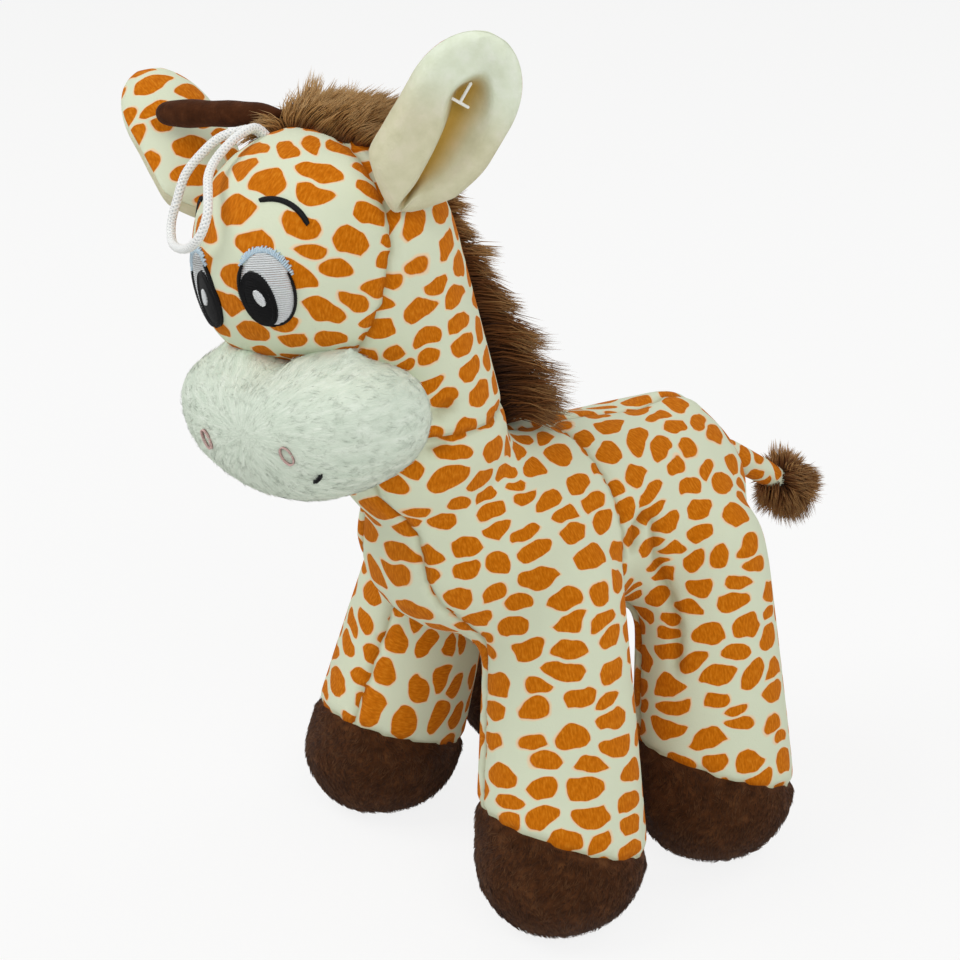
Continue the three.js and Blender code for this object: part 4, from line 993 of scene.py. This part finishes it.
manePlan = {"halfWidth": 8.5, "top": 97.0, "footZ": -4.0, "length": (17.0, 34.0), "lengthZ": (12, 80), "radius": 0.34,
            "rings": 3, "tuft": 55, "pull": 0.55, "bend": (0.2, 0.6), "sunk": 0.3, "pale": 0.6, "paleZ": (10, 95),
            "thickBy": (0.75, 1.2), "longBy": (0.6, 1.08), "tuftTone": 0.28, "toneNoise": 0.2, "spread": 0.4,
            "stray": 0.16, "lean": (0.5, 0.25, -1.0), "leanStray": 0.22,
            "pieces": {"mane_upper": ("head_skin", 11800), "mane_lower": ("body_skin", 3400)}}
crownPlan = {"count": 10200, "right": -13.0, "left": 26.0, "front": -33.5, "frontArch": 4.0, "archX": -4.0,
             "archWidth": 5.0, "frontSlope": 0.35, "slopeX": 14, "rear": 0.0, "lowZ": 90, "length": 14.0,
             "shorten": 4.0, "shortenX": (18, 27), "bend": (0.35, 0.7), "partX": -6, "partWidth": 14,
             "fringeX": (6, 12), "bareFrom": 21.0, "bareHalf": 5.0, "cover": 4.5, "coverHalf": 5, "coverOn": (-6, 0),
             "coverOff": (18, 24), "longBy": (0.6, 1.1), "stray": 0.16, "leanStray": 0.2}


def underMane(points, normals):
    own, way = inHead(points) / mm, normals @ turn
    inStrip = (np.abs(own[:, 0]) < manePlan["halfWidth"]) & (own[:, 2] > manePlan["footZ"])
    return inStrip & (own[:, 2] < manePlan["top"]) & (way[:, 1] > 0.05)


def besideHorn(own):  # along and across the left horn's line, seen from above
    seat = inHead(np.array([joints["horn_flop_left"]["pos_m"]]))[0] / mm
    sweep = math.radians(hornPlan["sweep"]["left"])
    out, rear = own[:, 0] - seat[0], own[:, 1] - seat[1]
    return out * math.cos(sweep) + rear * math.sin(sweep), rear * math.cos(sweep) - out * math.sin(sweep)


def underCrown(points, normals):
    own = inHead(points) / mm
    across = (own[:, 0] > crownPlan["right"]) & (own[:, 0] < crownPlan["left"])
    front = crownPlan["front"] + crownPlan["frontSlope"] * np.maximum(0, own[:, 0] - crownPlan["slopeX"])
    front = front + crownPlan["frontArch"] * hump(own[:, 0], crownPlan["archX"], crownPlan["archWidth"])
    along, aside = besideHorn(own)
    bare = (along > crownPlan["bareFrom"]) & (np.abs(aside) < crownPlan["bareHalf"])  # the horn's end lies open
    high = own[:, 2] > crownPlan["lowZ"]
    return across & (own[:, 1] > front) & (own[:, 1] < crownPlan["rear"]) & high & ~bare


def growFur(name, roots, ways, leans, lengths, dice, bend, hair, pale=0.0):  # long hair that parts into pointed tufts
    bends = dice.uniform(*bend, len(roots))
    radii = manePlan["radius"] * mm * dice.uniform(*manePlan["thickBy"], len(roots))
    pulls, tufts = clumpPulls(roots, ways, leans, lengths, bends, dice, manePlan["tuft"], manePlan["pull"])
    tones = 0.5 + pale + manePlan["tuftTone"] * tufts + dice.normal(0, manePlan["toneNoise"], len(roots))
    tones = np.clip(tones, 0, 1)
    fur = growStrands(name, roots, ways, leans, lengths, radii, bends, manePlan["rings"], tones, pulls)
    dress(fur, hair, "long_pile")
    return fur


dice = np.random.default_rng(5)
for name, (cloth, count) in manePlan["pieces"].items():
    roots, ways = scatter(skinPieces[cloth], count, dice, underMane)
    own = inHead(roots) / mm
    out = own[:, 0] / manePlan["halfWidth"]
    leans = np.c_[out, np.ones((count, 2))] * manePlan["lean"]
    leans = unit(leans + dice.normal(0, manePlan["leanStray"], leans.shape)) @ turn.T
    way = ways @ turn
    way[:, 0] += manePlan["spread"] * out
    way = unit(way + dice.normal(0, manePlan["stray"], way.shape)) @ turn.T
    short, long = manePlan["length"]
    lengths = (long + (short - long) * smoothStep(*manePlan["lengthZ"], own[:, 2])) * mm
    lengths = lengths * dice.uniform(*manePlan["longBy"], count)
    pale = manePlan["pale"] * (smoothStep(*manePlan["paleZ"], own[:, 2]) - 0.5)
    mane = growFur(name, roots - ways * manePlan["sunk"] * mm, way, leans, lengths, dice, manePlan["bend"], maneHair,
                   pale)
    bendAtNeck(mane, cloth)
    if name == "mane_upper":
        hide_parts("mane")
roots, ways = scatter(skinPieces["head_skin"], crownPlan["count"], dice, underCrown)
own = inHead(roots) / mm
away = np.clip((own[:, 0] - crownPlan["partX"]) / crownPlan["partWidth"], -1, 1)
fringe = smoothStep(*crownPlan["fringeX"], -own[:, 0])  # hangs down over the right horn's root
leans = np.c_[away, 0.2 - 0.4 * fringe, 0.1 - 0.7 * fringe]
leans = leans + dice.normal(0, crownPlan["leanStray"], roots.shape)
ways = unit(ways * (1 - 0.5 * fringe)[:, None] + np.c_[0.55 * away, 0.14 - 0.4 * fringe, 0 * away] @ turn.T
            + dice.normal(0, crownPlan["stray"], ways.shape))
along, aside = besideHorn(own)
cover = crownPlan["cover"] * hump(aside, 0, crownPlan["coverHalf"]) * smoothStep(*crownPlan["coverOn"], along)
cover = cover * (1 - smoothStep(*crownPlan["coverOff"], along))
lengths = crownPlan["length"] - crownPlan["shorten"] * smoothStep(*crownPlan["shortenX"], own[:, 0]) + cover
lengths = lengths * mm * dice.uniform(*crownPlan["longBy"], len(roots))
crown = growFur("crown_fur", roots, ways, unit(leans) @ turn.T, lengths, dice, crownPlan["bend"], crownHair)
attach(crown, "head")


# tail: a printed tube that ends in a tuft

tailPlan = {"radius": 5.5, "length": 46.0, "inside": 4.0, "thinner": 0.12, "blunt": 6, "drop": 33.0, "rings": 14,
            "sides": 20, "tuftAt": 45.0, "tuftSpan": (-5, 4), "tuftRadius": 2.6, "count": 4200, "strand": 16.0,
            "bend": (0.05, 0.35), "longBy": (0.65, 1.05), "hang": -0.5, "leanStray": 0.5, "trail": (0.35, 0.3)}
tailRoot, drop = np.array(joints["tail_lift"]["pos_m"]), math.radians(tailPlan["drop"])
tailWay = np.array([0, math.cos(drop), -math.sin(drop)])
tail, points = addBall("tail", tailPlan)
thick = np.sqrt(np.maximum(0, 1 - np.abs(points[:, 2]) ** tailPlan["blunt"])) * tailPlan["radius"] * mm
thick = thick * (1.0 - tailPlan["thinner"] * smoothStep(-1, 1, points[:, 2]))
reach = (-tailPlan["inside"] + (tailPlan["length"] + tailPlan["inside"]) * (points[:, 2] + 1) / 2) * mm
around = layAlong(tail, tailRoot, tailWay, np.array([1.0, 0, 0]), reach, thick)
setMap(tail, np.c_[around * tailPlan["radius"] / 100, reach * 10][cornersOf(tail)])
dress(tail, printedVelour, "print_cloth", "tail_tube", body="tail", fill=0.9)
dice = np.random.default_rng(8)
count = tailPlan["count"]
ways = unit(dice.normal(0, 1, (count, 3)) + tailPlan["trail"][0] * tailWay)
roots = tailRoot + tailWay * tailPlan["tuftAt"] * mm + ways * tailPlan["tuftRadius"] * mm
roots = roots + np.outer(dice.uniform(*tailPlan["tuftSpan"], count) * mm, tailWay)
leans = dice.normal(0, tailPlan["leanStray"], (count, 3)) + [0, 0, tailPlan["hang"]]
leans = unit(leans + tailPlan["trail"][1] * tailWay)
lengths = tailPlan["strand"] * mm * dice.uniform(*tailPlan["longBy"], count)
tuft = growFur("tail_tuft_hair", roots, ways, leans, lengths, dice, tailPlan["bend"], maneHair)
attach(tuft, "tail")
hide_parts("tail_tuft")
print("tail is made")


# ears: a padded leaf of two cloths, with a thick rolled rim round a hollow

earPlan = {"length": 62.0, "halfWidth": 16.5, "rootHalf": 11.0, "widest": 0.62, "cup": 6.0, "lift": 48.0, "sweep": 12.0,
           "twist": {"left": 35.0, "right": 100.0}, "rim": 8.0, "rimHigh": 5.4, "lipHigh": 10.5, "bulge": 4.0,
           "hollow": 0.5, "backHigh": 3.0, "backRim": 7, "overhang": 2.6, "start": -0.03, "steps": 56, "spread": 72,
           "thin": 0.12, "apart": 0.1, "rootShade": 0.38, "roll": {"left": 5.0, "right": 9.0}}


def earAxes(side, sign):  # along, across and behind the leaf
    length = pointing(sign, earPlan["lift"], earPlan["sweep"])
    rear = unit(np.array([0, 1.0, 0]) - length * length[1])
    rear = np.array(Matrix.Rotation(sign * math.radians(earPlan["twist"][side]), 3, Vector(length)) @ Vector(rear))
    return np.stack([length, np.cross(rear, length), rear]) @ turn.T


def earHalfWidth(share):
    wide, root, widest = earPlan["halfWidth"], earPlan["rootHalf"], earPlan["widest"]
    tip = wide * np.sqrt(np.maximum(0, 1 - ((share - widest) / (1 - widest)) ** 2))
    gathered = np.sqrt(np.clip((share - earPlan["start"] + 0.005) / 0.2, 0, 1))
    return np.where(share > widest, tip, root + (wide - root) * smoothStep(0, 0.42, share)) * gathered


def rounded(edge, rim):  # a rolled edge's height, from 0 at the seam to 1
    return np.sqrt(np.maximum(0, 1 - (1 - np.clip(edge / rim, 0, 1)) ** 2))


def earLayer(name, side, sign, front):
    steps, spread, start = earPlan["steps"], earPlan["spread"], earPlan["start"]
    share = np.sin(np.linspace(2 / math.pi * math.asin(start), 1, steps + 1) * math.pi / 2)[:, None]  # root to tip
    q = np.sin(np.linspace(-1, 1, spread + 1) * math.pi / 2)[None, :]  # edge to edge
    width = earHalfWidth(share)
    cup = earPlan["cup"] * (width / earPlan["halfWidth"]) ** 2 * smoothStep(0, earPlan["widest"], share)
    x = np.repeat(share * earPlan["length"], spread + 1, axis=1)
    lip = q * sign  # front edge folds over the hollow
    y = q * width + q * (lip < 0) * earPlan["bulge"] * hump(share, 0.14, 0.16)
    brink = -0.1 - 0.12 * smoothStep(0.3, 0.75, share)  # where the lip ends over the hollow
    fold = hump(lip, brink - 0.07, 0.12) * smoothStep(0.02, 0.2, share) * (1 - smoothStep(0.45, 0.65, share))
    middle = cup * (1 - q * q)
    ends = np.minimum((1 - share) * 1.1, (share - start + 0.01) * 1.3) * earPlan["length"]
    edge = np.minimum(width * (1 - np.abs(q)), ends)
    far = 0.14 + 0.66 * smoothStep(0.05, 0.3, share)
    hollow = smoothStep(-0.06, 0.05, lip - brink) * (1 - smoothStep(0.02, far, lip))
    hollow = hollow * (1 - smoothStep(0.68, 0.84, share + 0.8 * (lip - 0.15) ** 2)) * smoothStep(-0.02, 0.06, share)
    if front:
        full = earPlan["lipHigh"] + (earPlan["rimHigh"] - earPlan["lipHigh"]) * smoothStep(-0.02, 0.4, lip - brink)
        full = full + (earPlan["rimHigh"] - full) * smoothStep(0.6, 0.95, share)
        high = full * rounded(edge, earPlan["rim"])
        high = high * (1 - hollow) + np.minimum(high, earPlan["hollow"]) * hollow
        faces = [middle - earPlan["apart"], middle - np.maximum(high, earPlan["thin"])]
        wide = [y, y + sign * earPlan["overhang"] * fold]
    else:
        high = earPlan["backHigh"] * rounded(edge, earPlan["backRim"])
        faces = [middle + np.maximum(high, earPlan["thin"]), middle + earPlan["apart"]]
        wide = [y, y]
    grid = [np.stack([x, y, z], axis=2).reshape(-1, 3) for y, z in zip(wide, faces)]
    points = np.concatenate(grid) * mm @ earAxes(side, sign) + np.array(joints["ear_flop_" + side]["pos_m"])
    rows, columns = steps + 1, spread + 1
    total = rows * columns
    index = np.arange(total).reshape(rows, columns)
    a, b, c, d = (part.ravel() for part in (index[:-1, :-1], index[1:, :-1], index[1:, 1:], index[:-1, 1:]))
    upper = np.concatenate([np.c_[a, b, c], np.c_[a, c, d]])
    loop = np.concatenate([index[0, :-1], index[:-1, -1], index[-1, :0:-1], index[:0:-1, 0]])
    ahead = np.roll(loop, -1)
    wall = np.concatenate([np.c_[loop, ahead, ahead + total], np.c_[loop, ahead + total, loop + total]])
    # painted shade: how much the lining is darkened in the hollow and toward the root
    shade = np.maximum(hollow, earPlan["rootShade"] * (1 - smoothStep(0.45, 0.8, share))).ravel()
    ear = meshFrom(name, points, np.concatenate([upper, upper[:, ::-1] + total, wall]),
                   {"hollow": np.concatenate([shade, shade])})
    flat = np.concatenate([grid[0][:, 1::-1]] * 2)
    setMap(ear, flat[cornersOf(ear)] / 100 + earPlan["roll"][side])
    editAll(ear, (bpy.ops.mesh.remove_doubles, {"threshold": 0.00004}), facesOut)
    applyModifier(ear, "SMOOTH", factor=0.4, iterations=2)
    smoothLook(ear)
    return ear


for side, sign in bothSides:
    for name, node, front, cloth, finish in (("ear_back_", "ear_outer_", False, printedVelour, "print_cloth"),
                                             ("ear_front_", "ear_lining_", True, liningPlush, "ear_plush")):
        dress(earLayer(name + side, side, sign, front), cloth, finish, node + side, body="ear_" + side, fill=0.7)
print("ears are made")


# embroidery: satin stitch, thread beside thread, laid on the finished cloth

threadPlan = {"pitch": 0.5, "openPitch": 0.72, "width": 0.64, "high": 0.46, "lay": 0.25, "dive": 0.35, "steps": 6,
              "castFrom": 0.15, "past": 0.15, "base": {
                  "white": 0.1, "pupil": 0.55, "glint": 1.0, "lid": 0.35, "outline": 0.45, "brow": 0.2, "nostril": 0.5,
                  "mouth": 0.7}}  # how high above the cloth each figure lies


def clothTree(obj):
    return BVHTree.FromPolygons([v.co for v in obj.data.vertices], [p.vertices[:] for p in obj.data.polygons])


faceCloth, muzzleCloth = clothTree(skinPieces["head_skin"]), clothTree(muzzle)


def stitchSpot(cloth, centre, offset, lean):  # places across and up from a figure's middle, on the cloth
    heart = Vector(headSpot(centre))
    normal = unit(np.array(offset, float))
    across = unit(np.cross([0, 0, 1.0], normal))
    across = np.array(Matrix.Rotation(math.radians(lean), 3, Vector(normal)) @ Vector(across))
    upward = np.cross(normal, across)

    def spot(u, v):
        way = Vector(turn @ (np.array(offset) + across * u + upward * v)).normalized()
        hit, facing, _, _ = cloth.ray_cast(heart + way * threadPlan["castFrom"], -way)
        return np.array(hit), np.array(facing)
    return spot


def sewThreads(figure, side, spot, stitches, thread, finish, *nodes):
    base = threadPlan["base"][figure.split("_")[-1]]
    steps, half, high = threadPlan["steps"], threadPlan["width"] / 2 * mm, threadPlan["high"] * mm
    dive = np.abs(np.linspace(-1, 1, steps + 1)) ** 4 * (threadPlan["dive"] * mm + base * 0.5 * mm)  # into the cloth
    points, corners = [], []
    for (u0, v0), (u1, v1) in stitches:
        line, facing = zip(*[spot(u0 + (u1 - u0) * k / steps, v0 + (v1 - v0) * k / steps) for k in range(steps + 1)])
        line, facing = np.array(line), np.array(facing)
        line = line + facing * ((base + threadPlan["lay"]) * mm - dive)[:, None]
        across = unit(np.cross(facing, unit(np.gradient(line, axis=0)))) * half
        first = len(points) * 4 * (steps + 1)
        points.append(np.stack([line - across, line + facing * high, line + across, line - facing * high], axis=1))
        for k in range(steps):
            for side4 in range(4):
                a, b = first + k * 4 + side4, first + k * 4 + (side4 + 1) % 4
                corners += [(a, b, b + 4), (a, b + 4, a + 4)]
        last = first + steps * 4
        corners += [(first, first + 2, first + 1), (first, first + 3, first + 2), (last, last + 1, last + 2),
                    (last, last + 2, last + 3)]
    sewn = meshFrom(figure + "_thread_" + side, np.concatenate([p.reshape(-1, 3) for p in points]), np.array(corners))
    editAll(sewn, facesOut)
    dress(sewn, thread, finish, *nodes, body="head")


def leaned(centre, lean):  # a figure's own across and up, to its place in the pattern
    c, s = math.cos(math.radians(lean)), math.sin(math.radians(lean))
    return lambda a, b: (centre[0] + a * c - b * s, centre[1] + a * s + b * c)


def ovalFill(centre, halfSizes, lean, slant, pitch="pitch", uneven=0.08):  # threads across an oval, side by side
    stitches, place = [], leaned(centre, lean)
    count = int(2 * halfSizes[1] / threadPlan[pitch])
    for k in range(count):
        v = -halfSizes[1] + (k + 0.5) * 2 * halfSizes[1] / count
        u = halfSizes[0] * math.sqrt(max(0, 1 - (v / halfSizes[1]) ** 2)) + threadPlan["past"]
        reach = u + uneven * math.sin(k * 2.3)
        stitches.append(tuple(place(sign * reach, v + sign * slant * u) for sign in (-1, 1)))
    return stitches


def ringFill(centre, halfSizes, width, start, end, lean=0.0, slant=0.0, pitch="pitch", blunt=0.45,
             uneven=0.0):  # threads across a curved band
    stitches, place = [], leaned(centre, lean)
    mean = (halfSizes[0] + halfSizes[1]) / 2 + width / 2
    count = max(3, int(abs(end - start) * math.pi / 180 * mean / threadPlan[pitch]))
    for k in range(count + 1):
        angle = math.radians(start + (end - start) * k / count)
        fade = min(1.0, blunt + 4 * min(k, count - k) / count)
        ends = []
        for out in (0.5 - fade / 2, 0.5 + fade / 2 + uneven * math.sin(k * 2.7)):
            bent = angle + slant * out
            ends.append(place((halfSizes[0] + out * width) * math.cos(bent),
                              (halfSizes[1] + out * width) * math.sin(bent)))
        stitches.append(tuple(ends))
    return stitches


def rimRun(centre, halfSizes, lean, count):  # overlapping stitches that run along an oval's edge
    place, step = leaned(centre, lean), 2 * math.pi / count
    spots = [place(halfSizes[0] * math.cos(step * k), halfSizes[1] * math.sin(step * k)) for k in range(count + 2)]
    return list(zip(spots, spots[2:]))


def inMetres(stitches, sign=1):  # mirrored for the right side
    return [tuple((sign * u * mm, v * mm) for u, v in stitch) for stitch in stitches]


eyePlan = {"out": {"left": 14.5, "right": 17.0}, "up": -7.0, "lean": 8.0, "whiteAt": (0.5, 0.95), "white": (9.9, 12.5),
           "whiteLean": -10.5, "pupilAt": (-3.5, -1.6), "pupil": (6.2, 9.5), "pupilLean": -4.0,
           "rimInsets": (0.0, 0.6, 1.2), "rimStitches": 48, "glintAt": (-2.4, -0.8), "glint": (1.9, 2.8),
           "glintLean": 12.0, "lidWidth": 2.3, "lid": (22.0, 142.0), "tuck": 0.3, "outline": 1.5,
           "outlineArc": (140.0, 268.0), "edge": 0.8, "edgeArc": (268.0, 384.0)}
browPlan = {"out": {"left": 17.0, "right": 26.0}, "up": 8.0, "radius": 15.0, "width": 2.0, "arc": (56.0, 132.0),
            "lean": 35.0}
nosePlan = {"x": 4.5, "tilt": -0.105, "nostril": (20.0, -1.1), "nostrilHalf": (1.7, 3.2), "nostrilLean": 25.0,
            "nostrilWidth": 0.5, "nostrilArc": (0, 345), "mouthOut": 34.5, "mouthUp": {"left": -16.5, "right": -31.0},
            "mouthHalf": (3.0, 0.8), "mouthLean": 50}
faceHalf, muzzleFront = (45, 43, 41), 32


def onFace(out, up):
    a, b, c = faceHalf
    return np.array([out, -b * math.sqrt(1 - (out / a) ** 2 - (up / c) ** 2), up]) * mm


for side, sign in bothSides:
    eye = stitchSpot(faceCloth, headCock["centre"], onFace(sign * eyePlan["out"][side], eyePlan["up"]),
                     sign * eyePlan["lean"])
    at, white, lean = eyePlan["whiteAt"], eyePlan["white"], eyePlan["whiteLean"]
    pupilAt, (wide, high), pupilLean = eyePlan["pupilAt"], eyePlan["pupil"], eyePlan["pupilLean"]
    pupil = ovalFill(pupilAt, (wide, high), pupilLean, 0.03, uneven=0.03)
    for inset in eyePlan["rimInsets"]:
        pupil += rimRun(pupilAt, (wide - inset, high - inset), pupilLean, eyePlan["rimStitches"])
    lid = ringFill(at, white, eyePlan["lidWidth"], *eyePlan["lid"], lean, pitch="openPitch", uneven=0.16)
    layers = (("eye_white", ovalFill(at, white, lean, 0.02, "openPitch"), whiteThread, "white_thread"),
              ("eye_pupil", pupil, blackThread, "black_thread"),
              ("eye_glint", ovalFill(eyePlan["glintAt"], eyePlan["glint"], eyePlan["glintLean"], 0.0), whiteThread,
               "white_thread"),
              ("eye_lid", lid, blueThread, "blue_thread"))
    for figure, stitches, thread, finish in layers:
        sewThreads(figure, side, eye, inMetres(stitches, sign), thread, finish, figure + "_" + side)
    rim = (white[0] - eyePlan["tuck"], white[1] - eyePlan["tuck"])
    outline = ringFill(at, rim, eyePlan["outline"], *eyePlan["outlineArc"], lean)
    outline += ringFill(at, rim, eyePlan["edge"], *eyePlan["edgeArc"], lean, 0.06)
    sewThreads("eye_outline", side, eye, inMetres(outline, sign), blackThread, "black_thread")
    brow = stitchSpot(faceCloth, headCock["centre"], onFace(sign * browPlan["out"][side], browPlan["up"]),
                      -sign * browPlan["lean"])
    arc = ringFill((0, 0), (browPlan["radius"],) * 2, browPlan["width"], *browPlan["arc"], slant=0.05, blunt=0.75)
    sewThreads("brow", side, brow, inMetres(arc, sign), blackThread, "black_thread", "brow_" + side)
    out = nosePlan["x"] + sign * nosePlan["nostril"][0]
    offset = np.array([out, -muzzleFront, nosePlan["nostril"][1] + nosePlan["tilt"] * out]) * mm
    nostril = stitchSpot(muzzleCloth, muzzlePlan["centre"], offset, nosePlan["nostrilLean"])
    ring = ringFill((0, 0), nosePlan["nostrilHalf"], nosePlan["nostrilWidth"], *nosePlan["nostrilArc"])
    sewThreads("nostril", side, nostril, inMetres(ring), pinkThread, "pink_thread", "nostril_" + side)
    offset = np.array([nosePlan["x"] + sign * nosePlan["mouthOut"], -muzzleFront, nosePlan["mouthUp"][side]]) * mm
    mouth = stitchSpot(muzzleCloth, muzzlePlan["centre"], offset, sign * nosePlan["mouthLean"])
    sewThreads("mouth", side, mouth, inMetres(ovalFill((0, 0), nosePlan["mouthHalf"], 0, 0.0)), blackThread,
               "black_thread", "mouth_stitch_" + side)
print("face is embroidered")


# hang loop: a braided cord sewn into the crown at both ends

loopPlan = {"radius": 1.5, "sides": 24, "step": 0.24, "strands": 4, "lay": 5.2, "relief": 0.45, "smooth": 24,
            "pathPoints": 90, "route": [
                (-11.5, -33, 104.5), (-13, -37.5, 110.6), (-15.5, -43.5, 111), (-20, -46.5, 109.8),
                (-24.5, -51.5, 105.4), (-28, -56, 100), (-30, -59.5, 92.5), (-31.5, -62, 86), (-27, -66.5, 80.5),
                (-18, -70.5, 79), (-9, -73, 80.5), (-3, -73.3, 84.5), (-1.5, -71, 90), (-4, -67.5, 95.5),
                (-7.5, -63.5, 100), (-10, -58, 104), (-9, -52, 108.4), (-9.3, -45.5, 110.8), (-9.6, -39.5, 111.4),
                (-8.6, -35, 106.5)]}


def smoothRoute(spots, steps):  # centripetal curve through the spots
    spots = np.array(spots, float)
    spots = np.concatenate([[2 * spots[0] - spots[1]], spots, [2 * spots[-1] - spots[-2]]])
    line = []
    for k in range(1, len(spots) - 2):
        p0, p1, p2, p3 = spots[k - 1:k + 3]
        d0, d1, d2 = (np.linalg.norm(b - a) ** 0.5 for a, b in ((p0, p1), (p1, p2), (p2, p3)))
        m1 = (p1 - p0) / d0 - (p2 - p0) / (d0 + d1) + (p2 - p1) / d1
        m2 = (p2 - p1) / d1 - (p3 - p1) / (d1 + d2) + (p3 - p2) / d2
        for t in np.linspace(0, 1, steps, endpoint=False):
            line.append((2 * t**3 - 3 * t**2 + 1) * p1 + (t**3 - 2 * t**2 + t) * d1 * m1
                        + (-2 * t**3 + 3 * t**2) * p2 + (t**3 - t**2) * d1 * m2)
    return np.array(line + [spots[-2]])


def evenSteps(total):
    return np.linspace(0, total, int(total / (loopPlan["step"] * mm)) + 1)


line, even, cordLength = evenLine(smoothRoute(loopPlan["route"], loopPlan["smooth"]) * mm, evenSteps)
line = fromHead(line)
heading = unit(np.gradient(line, axis=0))
across = np.empty_like(line)
across[0] = unit(np.cross(heading[0], [0.3, 0.2, 1.0]))
for k in range(1, len(line)):
    across[k] = unit(across[k - 1] - heading[k] * (across[k - 1] @ heading[k]))
other = np.cross(heading, across)
sides, strands = loopPlan["sides"], loopPlan["strands"]
angle = 2 * np.pi * np.arange(sides) / sides
wind = 2 * np.pi * even[:, None] / (loopPlan["lay"] * mm)
braid = np.maximum(*(np.cos(strands * angle[None] + hand * strands * wind) for hand in (1, -1)))
thick = (loopPlan["radius"] - loopPlan["relief"] * 0.5 * (1 - braid)) * mm
ring = across[:, None] * np.cos(angle)[None, :, None] + other[:, None] * np.sin(angle)[None, :, None]
points = line[:, None] + thick[..., None] * ring
index = np.arange(len(line) * sides).reshape(len(line), sides)
ahead = np.roll(index, -1, axis=1)
corners = [np.stack([index[:-1], *pair], axis=2).reshape(-1, 3)
           for pair in ((ahead[:-1], ahead[1:]), (ahead[1:], index[1:]))]
corners += [np.array([(end[0], end[k + 1], end[k]) for k in range(1, sides - 1)])
            for end in (index[0], index[-1][::-1])]
loop = meshFrom("hang_loop_cord", points.reshape(-1, 3), np.concatenate(corners), {"ridge": 0.5 + 0.5 * braid})
whiteCord, tree, shader = newMaterial("braided white polyester cord", {"Roughness": 0.6})
place = addNode(tree, "TexCoord").outputs["Object"]
fibre = addNode(tree, "TexNoise", {"Vector": place, "Scale": 1 / (0.4 * mm), "Detail": 2.0})
ridge = addNode(tree, "Attribute", attribute_name="ridge").outputs["Fac"]
plied = addNode(tree, "Math", {0: fibre, 1: 0.3, 2: ridge}, operation="MULTIPLY_ADD")
feed(tree, shader, {"Base Color": setRamp(addNode(tree, "ValToRGB", {"Fac": plied}), [
    (0.15, "#aab0b2"), (0.6, "#e4e7e6"), (0.95, "#f6f7f5")])})  # shade lies between the plaits
dress(loop, whiteCord, "cord", "hang_loop", body="head")
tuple(line[0])
print("hang loop is", round(cordLength, 4), "m long")


# tag barb: the swing tag's fastener, moulded, waxy and a little glossy

nylon, tree, shader = newMaterial("moulded white nylon", {"Roughness": 0.35, "IOR": 1.53})
place = addNode(tree, "TexCoord").outputs["Object"]
cloud = addNode(tree, "TexNoise", {"Vector": place, "Scale": 1 / (2.0 * mm)})
feed(tree, shader, {"Base Color": setRamp(addNode(tree, "ValToRGB", {"Fac": cloud}), [
    (0.3, "#eceeea"), (0.7, "#fafaf8")])})
frame["nodes"]["tag_barb"].data.materials.clear()
frame["nodes"]["tag_barb"].data.materials.append(nylon)

low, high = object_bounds()
